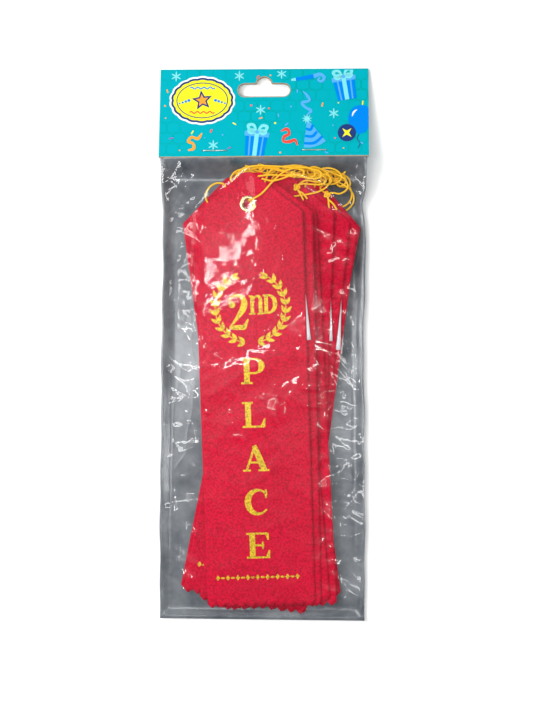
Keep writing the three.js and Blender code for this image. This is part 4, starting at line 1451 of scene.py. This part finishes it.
@dataclass
class HeaderArt:
    """The party print on the front panel, drawn in millimetres of the pack's own frame."""

    finishes: Finishes
    lift: float = 0.09
    layer: float = 0.012

    def __post_init__(self) -> None:
        """Starts with an empty print."""
        self.parts: list[Shape] = []

    def ink(self, shape: Shape, colour: Ink, layer: int) -> None:
        """Adds a flat shape in one ink, layer by layer over the card."""
        lifted = Shape(shape.points + vec(0, 0, self.lift + self.layer * layer), shape.faces)
        self.parts.append(lifted.painted(colour.value))

    def emblem(self, at: tuple[float, float] = (-29.6, 116.2)) -> None:
        """A scalloped oval medallion with a star between two rows of dots."""
        turn = np.linspace(0, TAU, 240, endpoint=False)
        for layer, (grow, colour) in enumerate(((1.9, Ink.WHITE), (1.0, Ink.NAVY), (0.0, Ink.YELLOW))):
            scallop = 1.0 + 0.035 * np.abs(np.sin(turn * 9))
            outline = np.stack([(13.6 * scallop + grow) * np.cos(turn),
                                (10.0 * scallop + grow) * np.sin(turn)], -1)
            self.ink(moved(patch(outline), at), colour, layer + 1)
        ring = np.stack([12.2 * np.cos(turn), 8.7 * np.sin(turn)], -1)
        self.ink(moved(stroke(np.vstack([ring, ring[:1]]), 0.45), at), Ink.NAVY, 4)
        self.ink(moved(self.star(5, 5.2, 2.3), at, turn=8), Ink.NAVY, 4)
        self.ink(moved(self.star(5, 3.2, 1.4), at, turn=8), Ink.ORANGE, 5)
        for side in (-1, 1):
            for step in range(4):
                dot = patch(arc((0, 0), 0.75 - 0.1 * step, 0, 340, 18))
                self.ink(moved(dot, (at[0] + side * (6.4 + 1.5 * step), at[1] - 0.5 * step)), Ink.BLUE, 4)
        wave = np.linspace(-6, 6, 60)
        for row in (-6.0, 6.2):
            line = np.stack([wave, row + 0.45 * np.sin(wave * 2.1)], -1)
            self.ink(moved(stroke(line, 0.6), at), Ink.RED if row < 0 else Ink.BLUE, 4)

    @staticmethod
    def star(arms: int, outer: float, inner: float) -> Shape:
        """A star with its first arm up."""
        turn = np.radians(90 + np.arange(2 * arms) * 180.0 / arms)
        radius = np.where(np.arange(2 * arms) % 2 == 0, outer, inner)
        return patch(np.stack([radius * np.cos(turn), radius * np.sin(turn)], -1))

    def present(self, at: tuple[float, float], size: float, turn: float) -> None:
        """A tapered box with light bands, and a bow of four loops."""
        box = np.array([[-5.2, 3.4], [-4.4, -6.5], [4.4, -6.5], [5.2, 3.4]])
        self.ink(moved(patch(box), at, size, turn), Ink.BLUE, 1)
        lid = np.array([[-5.8, 5.2], [-5.6, 3.0], [5.6, 3.0], [5.8, 5.2]])
        self.ink(moved(patch(lid), at, size, turn), Ink.SKY, 2)
        for x in (-3.1, 3.1):
            self.ink(moved(straight(x, 3.0, x * 0.86, -6.5, 0.7), at, size, turn), Ink.SKY, 2)
        self.ink(moved(straight(0, 5.2, 0, -6.5, 2.0), at, size, turn), Ink.AQUA, 3)
        for side in (-1, 1):
            for rise, reach in ((2.6, 4.4), (0.2, 4.0)):
                loop = rounded((0, 5.0), (side * reach * 0.5, 5.9 + rise), (side * reach, 5.4 + rise),
                               (side * reach * 0.8, 4.4 + rise * 0.6), (0, 5.0))
                self.ink(moved(stroke(loop, [0.5, 1.3, 1.5, 1.3, 0.5]), at, size, turn), Ink.AQUA, 4)
        self.ink(moved(patch(arc((0, 5.2), 0.9, 0, 340, 18)), at, size, turn), Ink.SKY, 5)

    def hat(self, at: tuple[float, float] = (24.2, 94.6), turn: float = 16.0) -> None:
        """A striped party hat with a spiky pompon, and a curled streamer from its tip."""
        cone = np.array([[-5.4, -0.6], [-3.0, -1.5], [0, -1.8], [3.0, -1.5], [5.4, -0.6], [0, 12.4]])
        self.ink(moved(patch(cone), at, turn=turn), Ink.SKY, 1)
        for height in (1.2, 4.6, 8.0):
            half = 5.2 * (1 - height / 12.6)
            band = rounded((-half, height), (0, height - 1.1), (half, height + 0.9))
            self.ink(moved(stroke(band, [1.2, 1.5, 1.2]), at, turn=turn), Ink.BLUE, 2)
        self.ink(moved(self.star(9, 2.6, 1.1), (at[0] - 3.5, at[1] + 12.0)), Ink.AQUA, 3)

    def curl(self, colour: Ink, turns: Sequence[tuple[float, float]], widths: Sequence[float]) -> None:
        """A curled streamer along listed turns."""
        self.ink(stroke(rounded(*turns), widths), colour, 2)

    def asterisk(self, at: tuple[float, float]) -> None:
        """A burst of six round-ended arms."""
        for step in range(3):
            arm = straight(-2.5, 0, 2.5, 0, [0.35, 0.8, 0.5, 0.8, 0.35])
            self.ink(moved(arm, at, turn=30 + 60 * step), Ink.AQUA, 2 + step)

    def confetti(self) -> None:
        """Dots and short strips scattered over the free ground, from a fixed seed."""
        random = np.random.default_rng(11)
        spots = [(-46.5, 121), (-47, 107.5), (-44, 97.5), (-40, 91.5), (-25, 101), (-19.5, 99), (-16.3, 92.5),
                 (-6, 113.5),
                 (-14, 104.5), (2.5, 112), (7, 108.5), (13, 112.8), (11, 104), (5.5, 104.6), (16, 120.5),
                 (33, 103.3),
                 (28, 113.8), (38, 92), (46.5, 94.5), (34, 97), (-3, 127.8), (3, 128.6),
                 (-34, 100.4), (-28, 97.6),
                 (47.2, 114.6), (-47.5, 113.6), (30, 89.8), (8, 90), (-1.4, 107.2), (35.6, 114.5)]
        inks = (Ink.ORANGE, Ink.YELLOW, Ink.PURPLE, Ink.RED, Ink.SKY)
        for number, spot in enumerate(spots):
            colour = inks[int(random.integers(len(inks)))]
            if number % 2:
                self.ink(moved(patch(arc((0, 0), random.uniform(0.3, 0.55), 0, 330, 12)), spot), colour, 1)
            else:
                strip = straight(-random.uniform(0.7, 1.2), 0, 0.9, 0, 0.6)
                self.ink(moved(strip, spot, turn=random.uniform(0, 180)), colour, 1)

    def build(self) -> bpy.types.Object:
        """The whole print, lifted onto the sloping panel and cut off at the card's edges."""
        self.emblem()
        self.present((-3.6, 95.0), 1.02, -6)
        self.present((38.8, 122.6), 1.0, 9)
        self.hat()
        self.curl(Ink.SKY,
                  [(20.6, 108.5), (22.5, 110.6), (19.6, 112.6), (18.4, 114.6), (21.8, 115.8), (20.6, 118.4),
                            (18.8, 120.4)], [0.5, 1.5, 1.1, 1.6, 1.1, 1.4, 0.5])
        self.curl(Ink.AQUA, [(13.0, 126.2), (15.2, 126.5)], [0.9, 1.6])
        self.curl(Ink.BLUE, [(15.2, 126.5), (19.5, 127.2), (23.8, 128.0)], [1.6, 2.0, 2.2])
        self.curl(Ink.SKY,
                  [(23.8, 128.0), (27.0, 128.9), (28.9, 127.3), (27.6, 125.4), (25.9, 126.2), (26.9, 127.4)],
                  [2.2, 1.8, 1.5, 1.3, 1.1, 0.8])
        self.curl(Ink.RED, [(8.4, 100.6), (11.2, 101.6), (12.2, 99.2), (9.9, 97.8), (9.6, 95.6), (12.6, 95.4),
                            (14.9, 96.2), (16.2, 93.6)], [0.6, 1.5, 1.2, 1.5, 1.1, 1.5, 1.2, 0.6])
        self.curl(Ink.ORANGE,
                  [(-35.9, 91.4), (-33.2, 92.4), (-33.6, 94.8), (-35.8, 95.8), (-34.4, 98.0), (-31.4, 97.2),
                               (-29.4, 99.8)], [0.6, 1.5, 1.1, 1.5, 1.1, 1.5, 0.6])
        balloon = rounded((45.2, 98.8), (41.4, 102.4), (40.4, 107.2), (42.4, 111.8), (46.4, 113.3),
                          (49.4, 112.4),
                          (49.9, 108), (49.9, 103), (48.6, 100.2), (45.2, 98.8))
        self.ink(patch(balloon), Ink.BLUE, 1)
        self.ink(stroke(arc((45.0, 107.0), (2.9, 4.0), 100, 170, 16), [0.3, 0.9, 0.3]), Ink.WHITE, 2)
        self.curl(Ink.NAVY, [(45.2, 98.8), (44.4, 96.6), (45.8, 94.4), (44.8, 91.8)], 0.35)
        self.ink(patch(arc((39.6, 99.6), 4.3, 0, 357, 60)), Ink.NAVY, 3)
        self.ink(moved(self.star(4, 3.1, 1.0), (39.6, 99.6), turn=45), Ink.YELLOW, 4)
        for at in ((-42.4, 128.3), (-11.9, 128.4), (8.4, 129.3), (-1.5, 111.2), (33.4, 109.3), (-23.9, 93.9)):
            self.asterisk(at)
        self.confetti()
        art = Shape.joined(self.parts)
        p = art.points
        p[:, 0] = np.clip(p[:, 0], -49.9, 49.9)
        p[:, 1] = np.clip(p[:, 1], LIE.header_free + 0.45, LIE.top - 0.8)
        p[:, 2] += 2 * LIE.header_mid + LIE.header_rise(p[:, 0], p[:, 1])
        piece = art.build("header_art", smooth=False)
        return finish_piece(piece, "root", self.finishes.ink)


@dataclass
class Staples:
    """Two bright staples through the header: round wire with rounded shoulders."""

    finishes: Finishes
    crown: float = 12.0
    wire: float = 0.5
    clinch: float = 4.2
    inset: float = 3.2
    spacing: float = 47.3
    offset: float = 0.4
    layers: float = 0.8
    shoulder: float = 0.45

    def build(self) -> None:
        """Each staple's line: clinched end, leg, crown, leg and clinched end."""
        level = self.layers + self.wire / 2
        leg = (self.crown - self.wire) / 2
        r = self.shoulder
        flat = [(-leg + self.clinch, -level + 0.15), (-leg + self.clinch / 2, -level), (-leg + r, -level),
                (-leg, -level + r),
                (-leg, 0), (-leg, level - r), (-leg + r, level)]
        line = np.array([*flat, (0, level + 0.05), *[(-x, z) for x, z in reversed(flat)]])
        for side, tag in ((-1, "left"), (1, "right")):
            x = side * self.spacing / 2 + self.offset + line[:, 0]
            y = np.full(len(x), LIE.header_free + self.inset)
            z = LIE.header_mid + line[:, 1] + LIE.header_rise(x, y)
            shape = sweep(smooth_path(np.stack([x, y, z], -1), 0.12), self.wire / 2, 12)
            piece = shape.build(f"wire_{tag}")
            finish_piece(piece, "root", self.finishes.wire, [f"staple_{tag}"])


# ---------------------------------------------------------------------------
# Film bag
# ---------------------------------------------------------------------------


@dataclass(frozen=True)
class Crease:
    """A sharp fold standing out of the film, in millimetres: ends, width, rise and sideways bow."""

    start: tuple[float, float]
    end: tuple[float, float]
    width: float = 1.4
    rise: float = 0.35
    bow: float = 0.0


CREASES: tuple[Crease, ...] = (
    Crease((5.6, -24.8), (9.2, -38.4), 2.4, 0.55, 1.6),
    Crease((4.4, -27.0), (7.6, -40.0), 2.0, 0.5, -1.0),
    Crease((8.2, -26.0), (5.8, -36.0), 1.6, 0.4, 0.8),
    Crease((1.2, -24.4), (-0.2, -26.4), 1.0, 0.35, 0.6),
    Crease((-22.4, -6.2), (-18.6, -8.8), 1.3, 0.45, 0.4),
    Crease((-17.4, -26.4), (-15.8, -27.8), 1.0, 0.35),
    Crease((-15.2, -32.0), (-14.6, -34.4), 1.0, 0.35),
    Crease((-27.2, -32.2), (-25.0, -34.6), 1.2, 0.4, 0.4),
    Crease((-14.0, -44.2), (-8.2, -46.8), 2.6, 0.45, 0.6),
    Crease((-30.0, -30.0), (28.0, 2.0), 9.0, 0.5, 3.0),
    Crease((-24.0, -42.0), (30.0, -14.0), 11.0, 0.5, -3.0),
    Crease((-39.5, 80.2), (-35.0, 76.6), 1.8, 0.6, 0.5),
    Crease((-25.0, 78.0), (-22.8, 74.4), 1.4, 0.4, 0.8),
    Crease((-39.0, 67.8), (-36.6, 62.8), 1.5, 0.45, -0.7),
    Crease((-36.2, 67.6), (-33.6, 63.4), 1.4, 0.4, 0.7),
    Crease((-33.4, 67.6), (-29.4, 60.4), 1.4, 0.4, -0.8),
    Crease((-42.0, 46.0), (-40.0, -4.0), 2.4, 0.8, 1.6),
    Crease((-45.0, 30.0), (-43.4, -30.0), 1.8, 0.5, -1.0),
    Crease((-34.0, 20.0), (-28.0, -8.0), 1.6, 0.45, 2.2),
    Crease((-28.4, 18.0), (-33.0, -6.0), 1.4, 0.4, -1.6),
    Crease((43.6, 18.0), (44.6, -24.0), 1.8, 0.7, 0.8),
    Crease((40.8, 14.0), (41.8, -18.0), 1.4, 0.5, -0.6),
    Crease((42.6, 86.0), (46.0, 54.0), 2.0, 0.7, -1.5),
    Crease((45.6, 52.0), (41.2, 30.0), 1.6, 0.5, 1.0),
    Crease((33.2, -69.0), (42.8, -53.4), 1.6, 0.5, -0.8),
    Crease((16.6, -21.0), (37.0, -19.4), 1.4, 0.4, -1.8),
    Crease((18.0, -29.6), (37.4, -28.0), 1.3, 0.35, -1.6),
    Crease((-44.0, -60.0), (-40.4, -112.0), 2.0, 0.6, 0.8),
    Crease((44.6, -62.0), (42.0, -104.0), 2.0, 0.6, -0.8),
    Crease((-48.0, -127.0), (-36.0, -116.0), 1.8, 0.5, 0.8),
    Crease((48.0, -127.0), (35.0, -119.0), 1.8, 0.5, -0.8),
    Crease((-20.0, 84.0), (-34.0, 60.0), 5.0, 0.5, 1.4),
    Crease((6.0, 86.0), (44.0, 66.0), 4.0, 0.4, -1.0),
    Crease((-6.0, 85.0), (-2.0, 60.0), 3.4, 0.3, 0.6),
    Crease((20.0, 56.0), (44.0, 44.0), 2.4, 0.35, 0.8),
    Crease((-44.0, -20.0), (-30.0, -52.0), 3.0, 0.4, 1.2),
)


@dataclass
class FilmBag:
    """The two films of the bag, welded at the sides and at the foot."""

    finishes: Finishes
    ribbons: list[HungRibbon]
    cards: list[EventCard]
    loops: list[ElasticLoop]
    mouth_drop: float = 18.0
    clearance: float = 0.3
    side_clearance: float = 0.8
    turns_tried: int = 9
    relaxing_steps: int = 1500
    easing_steps: int = 5
    weld_ribs: int = 4
    vent: tuple[float, float, float] = (33.8, -106.7, 2.8)
    front_cells: tuple[int, int] = (150, 300)
    back_cells: tuple[int, int] = (70, 140)

    def grid(self, cells: tuple[int, int]) -> tuple[Array, Array]:
        """X and y over the sheet, with the columns a little closer together towards the sides."""
        columns, rows = cells
        t = np.linspace(-1, 1, columns + 1)
        x = LIE.bag_width / 2 * (0.75 * t + 0.25 * np.sin(t * np.pi / 2))
        y = np.linspace(-LIE.top, LIE.top - self.mouth_drop, rows + 1)
        return np.broadcast_arrays(x[None, :], y[:, None])

    @staticmethod
    def crease(x: Array, y: Array, crease: Crease) -> Array:
        """A crease's height: a tent across its line, fading to both ends. The line bows as a parabola."""
        start, end = vec(*crease.start), vec(*crease.end)
        length = float(np.linalg.norm(end - start))
        ahead = (end - start) / length
        along = ((x - start[0]) * ahead[0] + (y - start[1]) * ahead[1]) / length
        off = (y - start[1]) * ahead[0] - (x - start[0]) * ahead[1] - crease.bow * 4 * along * (1 - along)
        ends = np.sin(np.pi * np.clip(along, 0, 1)) ** 0.7
        return crease.rise * ends * np.maximum(0, 1 - np.abs(off) / crease.width) ** 1.3

    def held_up(self, x: Array, y: Array) -> Array:
        """What the front film rests on: every ribbon and card, wherever they may swing, and the cords.

        Args:
            x: grid.
            y: grid.

        Returns:
            The height that the film stays above, over the whole grid.
        """
        height = np.full(x.shape, -1.0)
        for ribbon, card in zip(self.ribbons, self.cards):
            swing, swivel = ribbon.joint["range_deg"], card.joint["range_deg"]
            reach = (swing[0] + swivel[0], swing[1] + swivel[1])
            for piece, (low, high) in ((ribbon, swing), (card, reach)):
                at = piece.placement
                tilt = (x - at.origin[0]) * at.out[0] + (y - at.origin[1]) * at.out[1]
                plane = at.origin[2] - tilt / at.out[2]
                for angle in np.radians(np.linspace(low, high, self.turns_tried)):
                    across = at.across * math.cos(angle) + at.along * math.sin(angle)
                    along = at.along * math.cos(angle) - at.across * math.sin(angle)
                    u = (x - at.origin[0]) * across[0] + (y - at.origin[1]) * across[1]
                    v = (x - at.origin[0]) * along[0] + (y - at.origin[1]) * along[1]
                    inside = piece.covers(u, v, self.side_clearance)
                    height = np.where(inside, np.maximum(height, plane + self.clearance), height)
        points = np.vstack([line for loop in self.loops for line in loop.lines])
        column = np.searchsorted(x[0], points[:, 0])
        row = np.searchsorted(y[:, 0], points[:, 1])
        for di in range(-2, 2):
            for dj in range(-2, 2):
                np.maximum.at(height, (row + di, column + dj), points[:, 2] + 0.55)
        return height

    def tent(self, x: Array, y: Array) -> Array:
        """The front film drawn tight: each point is the mean of its four neighbours, or rests on something.

        Args:
            x: grid.
            y: grid.

        Returns:
            The height of the film's underside.
        """
        seam = LIE.seam(x, y) + LIE.film_gap / 2
        rest = np.maximum(self.held_up(x, y), seam)
        height = LIE.front(x, y)
        free = (np.abs(x) < LIE.bag_width / 2 - 0.4) & (y > -LIE.top + 2.4) & (y < LIE.header_free - 0.3)
        height = np.where(free, np.maximum(height, rest), seam)
        for _ in range(self.relaxing_steps):
            mean = (height[:-2, 1:-1] + height[2:, 1:-1] + height[1:-1, :-2] + height[1:-1, 2:]) / 4.0
            height[1:-1, 1:-1] = np.where(free[1:-1, 1:-1], np.maximum(mean, rest[1:-1, 1:-1]),
                                          height[1:-1, 1:-1])
        for _ in range(self.easing_steps):
            mean = (height[:-2, 1:-1] + height[2:, 1:-1] + height[1:-1, :-2] + height[1:-1, 2:]) / 4.0
            height[1:-1, 1:-1] = np.where(free[1:-1, 1:-1], mean, height[1:-1, 1:-1])
        return height

    @staticmethod
    def crumple(x: Array, y: Array) -> Array:
        """Loose, crumpled film: crossed ridges, each a sharpened sine along its own bent direction."""
        bent_x = x + 3.2 * np.sin(y / 13.0 + 1.0) + 1.6 * np.sin(y / 5.5 + x / 17.0)
        bent_y = y + 3.0 * np.sin(x / 11.0 + 2.0) + 1.8 * np.sin(x / 6.5 - y / 21.0)
        waves = ((25.0, 122.0, 0.62, 0.3), (19.0, 38.0, 0.40, 1.1), (13.0, 100.0, 0.30, 2.0),
                 (10.0, -12.0, 0.24, 0.5),
                 (7.0, 65.0, 0.16, 3.1), (5.0, 150.0, 0.10, 1.7))
        height = np.zeros_like(bent_x)
        for length, turn, rise, phase in waves:
            a = math.radians(turn)
            t = (bent_x * math.cos(a) + bent_y * math.sin(a)) * np.pi / length + phase
            height += rise * (1.0 - np.abs(np.sin(t))) ** 1.5
        return height

    def slack(self, x: Array, y: Array) -> Array:
        """The crumple's strength: least over the ribbons' taut heads, most between them and the seams."""
        beside = ease(np.abs(x + 2.0), 24.0, 36.0)
        taut = ease(y, 10.0, 34.0) * (1.0 - beside)
        return self.crumple(x, y) * (0.28 + 1.1 * beside - 0.2 * taut)

    def front(self) -> bpy.types.Object:
        """The front film: over the stack, with its slack, creases and vent ring."""
        x, y = self.grid(self.front_cells)
        free = ease(y, -LIE.top + 2, -LIE.top + 7) * ease(y, LIE.header_free + 1, LIE.header_free - 4)
        free = free * ease(np.abs(x), LIE.bag_width / 2, LIE.bag_width / 2 - 3)
        lift = self.slack(x, y) + sum(self.crease(x, y, c) for c in CREASES)
        cx, cy, radius = self.vent
        ring = np.abs(np.hypot(x - cx, y - cy) - radius)
        lift = lift + 0.22 * np.maximum(0, 1 - ring / 0.8)
        z = self.tent(x, y) + LIE.film / 2 + lift * free
        points = np.stack([self.drawn_in(x, y), y, z], -1).reshape(-1, 3)
        shape = Shape(points, [grid_quads(*x.shape)])
        piece = shape.build("film_front")
        solidify(piece, LIE.film)
        return finish_piece(piece, "root", self.finishes.film, ["bag_front_film"])

    @staticmethod
    def drawn_in(x: Array, y: Array) -> Array:
        """X with the side folds drawn in by a few shallow dents, most on the right."""
        right = 1.3 * np.exp(-((y - 66.0) / 5.0) ** 2) + 0.9 * np.exp(-((y + 8.0) / 26.0) ** 2)
        left = 0.8 * np.exp(-((y - 38.0) / 20.0) ** 2) + 0.5 * np.exp(-((y + 30.0) / 14.0) ** 2)
        wave = 0.18 * np.sin(y / 4.3) + 0.15 * np.sin(y / 9.7 + 1.0)
        quiet = ease(y, LIE.header_free, LIE.header_free - 6)
        share = ease(np.abs(x), 36.0, LIE.bag_width / 2)
        return x - np.sign(x) * share * (np.where(x > 0, right, left) + 0.35 + wave) * quiet

    def back(self) -> bpy.types.Object:
        """The back film, flat on the table and up to the seams."""
        x, y = self.grid(self.back_cells)
        z = LIE.back(x, y) + LIE.film / 2
        points = np.stack([self.drawn_in(x, y), y, z], -1).reshape(-1, 3)
        piece = Shape(points, [grid_quads(*x.shape)]).build("film_back")
        solidify(piece, LIE.film)
        return finish_piece(piece, "root", self.finishes.back, ["bag_back_film"])

    def weld(self) -> bpy.types.Object:
        """The foot's weld: pressed ribs from side to side, a half millimetre apart."""
        half = LIE.bag_width / 2 - 0.6
        ribs = []
        for number in range(self.weld_ribs):
            x = np.linspace(-half, half, 90)
            y = np.full_like(x, -LIE.top + 0.7 + 0.75 * number)
            z = LIE.front(x, y) + LIE.film + 0.02
            ribs.append(sweep(np.stack([x, y, z], -1), 0.12, 6))
        piece = Shape.joined(ribs).build("film_weld")
        return finish_piece(piece, "root", self.finishes.film)

    def build(self) -> None:
        """Both films and the weld."""
        self.front()
        self.back()
        self.weld()


# ---------------------------------------------------------------------------
# Studio
# ---------------------------------------------------------------------------


@dataclass(frozen=True)
class SoftBox:
    """A rectangular light: place and aim in millimetres, size in millimetres, and power in watts."""

    name: str
    at: Point
    aim: Point
    size: tuple[float, float]
    power: float
    colour: Colour = (1.0, 1.0, 1.0)


@dataclass
class Studio:
    """A pale floor, soft boxes and the camera."""

    camera_at: Point = (21.4, -15.4, 528.0)
    camera_turn: Point = (1.02, 2.14, 0.24)
    focal_pixels: float = 1100.0
    image_height: float = 711.0
    sensor: float = 36.0
    sky: float = 0.22
    boxes: tuple[SoftBox, ...] = (
        SoftBox("ceiling", (-460, 90, 780), (-60, 40, 0), (260, 520), 1.3),
        SoftBox("left strip", (-270, -40, 800), (-60, 40, 0), (34, 460), 2.0),
        SoftBox("right strip", (200, -120, 800), (20, -20, 0), (26, 300), 1.1),
        SoftBox("low left", (-620, 60, 400), (0, 0, 0), (80, 620), 2.7),
        SoftBox("low right", (600, -120, 420), (0, 0, 0), (60, 520), 1.8),
        SoftBox("key", (-460, 480, 620), (0, 0, 0), (220, 220), 2.9),
    )

    def camera(self) -> None:
        """The camera: almost straight over the pack."""
        data = bpy.data.cameras.new("camera")
        data.sensor_width = self.sensor
        data.lens = self.focal_pixels * self.sensor / self.image_height
        data.clip_start = 0.01
        eye = bpy.data.objects.new("camera", data)
        eye.location = [value * MM for value in self.camera_at]
        eye.rotation_euler = [math.radians(value) for value in self.camera_turn]
        bpy.context.scene.collection.objects.link(eye)
        bpy.context.scene.camera = eye

    def lights(self) -> None:
        """The soft boxes, each aimed at its point, and an even sky."""
        for box in self.boxes:
            data = bpy.data.lights.new(box.name, "AREA")
            data.shape = "RECTANGLE"
            data.size, data.size_y = box.size[0] * MM, box.size[1] * MM
            data.energy = box.power
            data.color = box.colour
            lamp = bpy.data.objects.new(box.name, data)
            lamp.location = [value * MM for value in box.at]
            aim = Vector([(a - b) * MM for a, b in zip(box.aim, box.at)])
            lamp.rotation_euler = aim.to_track_quat("-Z", "Y").to_euler()
            bpy.context.scene.collection.objects.link(lamp)
        world = bpy.data.worlds.new("studio")
        world.use_nodes = True
        world.node_tree.nodes["Background"].inputs[0].default_value = (1.0, 1.0, 1.0, 1.0)
        world.node_tree.nodes["Background"].inputs[1].default_value = self.sky
        bpy.context.scene.world = world

    def floor(self) -> None:
        """A plain pale floor just under the pack."""
        side = np.array([[-6000.0, -6000, -0.06], [6000, -6000, -0.06], [6000, 6000, -0.06],
                         [-6000, 6000, -0.06]])
        floor = Shape(side, [np.array([[0, 1, 2, 3]])]).build("floor", smooth=False)
        material, n, surface = new_material("pale floor")
        place = n.add("TexCoord").outputs["Object"]
        grain = n.add("TexNoise", {"Vector": place, "Scale": 12.0, "Detail": 2.0})
        tone = n.mix(grain.outputs[0], (0.97, 0.97, 0.97, 1.0), (0.95, 0.95, 0.95, 1.0))
        shader = n.add("BsdfPrincipled", {"Base Color": tone, "Roughness": 0.9, "Specular IOR Level": 0.1})
        n.plug(surface, shader.outputs[0])
        floor.data.materials.append(material)

    def build(self) -> None:
        """The whole studio."""
        self.floor()
        self.lights()
        bpy.context.scene.view_settings.view_transform = "Standard"


RIBBON_COUNT = 10


def main() -> None:
    """Builds the pack, piece by piece."""
    logging.basicConfig(level=logging.INFO, format="%(message)s")
    studio = Studio()
    studio.camera()
    finishes = Finishes()
    loops = [ElasticLoop(number, finishes) for number in range(1, RIBBON_COUNT + 1)]
    for loop in loops:
        loop.build()
    flat_print = GoldPrint().shape()
    ribbons = [HungRibbon(number, finishes) for number in range(1, RIBBON_COUNT + 1)]
    cards = [EventCard(number, finishes) for number in range(1, RIBBON_COUNT + 1)]
    for number, ribbon in enumerate(ribbons, 1):
        ribbon.strip()
        ribbon.gold_print(flat_print)
        ribbon.eyelet()
        cards[number - 1].build()
        LOG.info("ribbon %d is dressed", number)
    frame["nodes"]["header_card"].data.materials.clear()
    frame["nodes"]["header_card"].data.materials.append(finishes.header)
    HeaderArt(finishes).build()
    Staples(finishes).build()
    FilmBag(finishes, ribbons, cards, loops).build()
    studio.build()


if __name__ == "__main__":
    main()
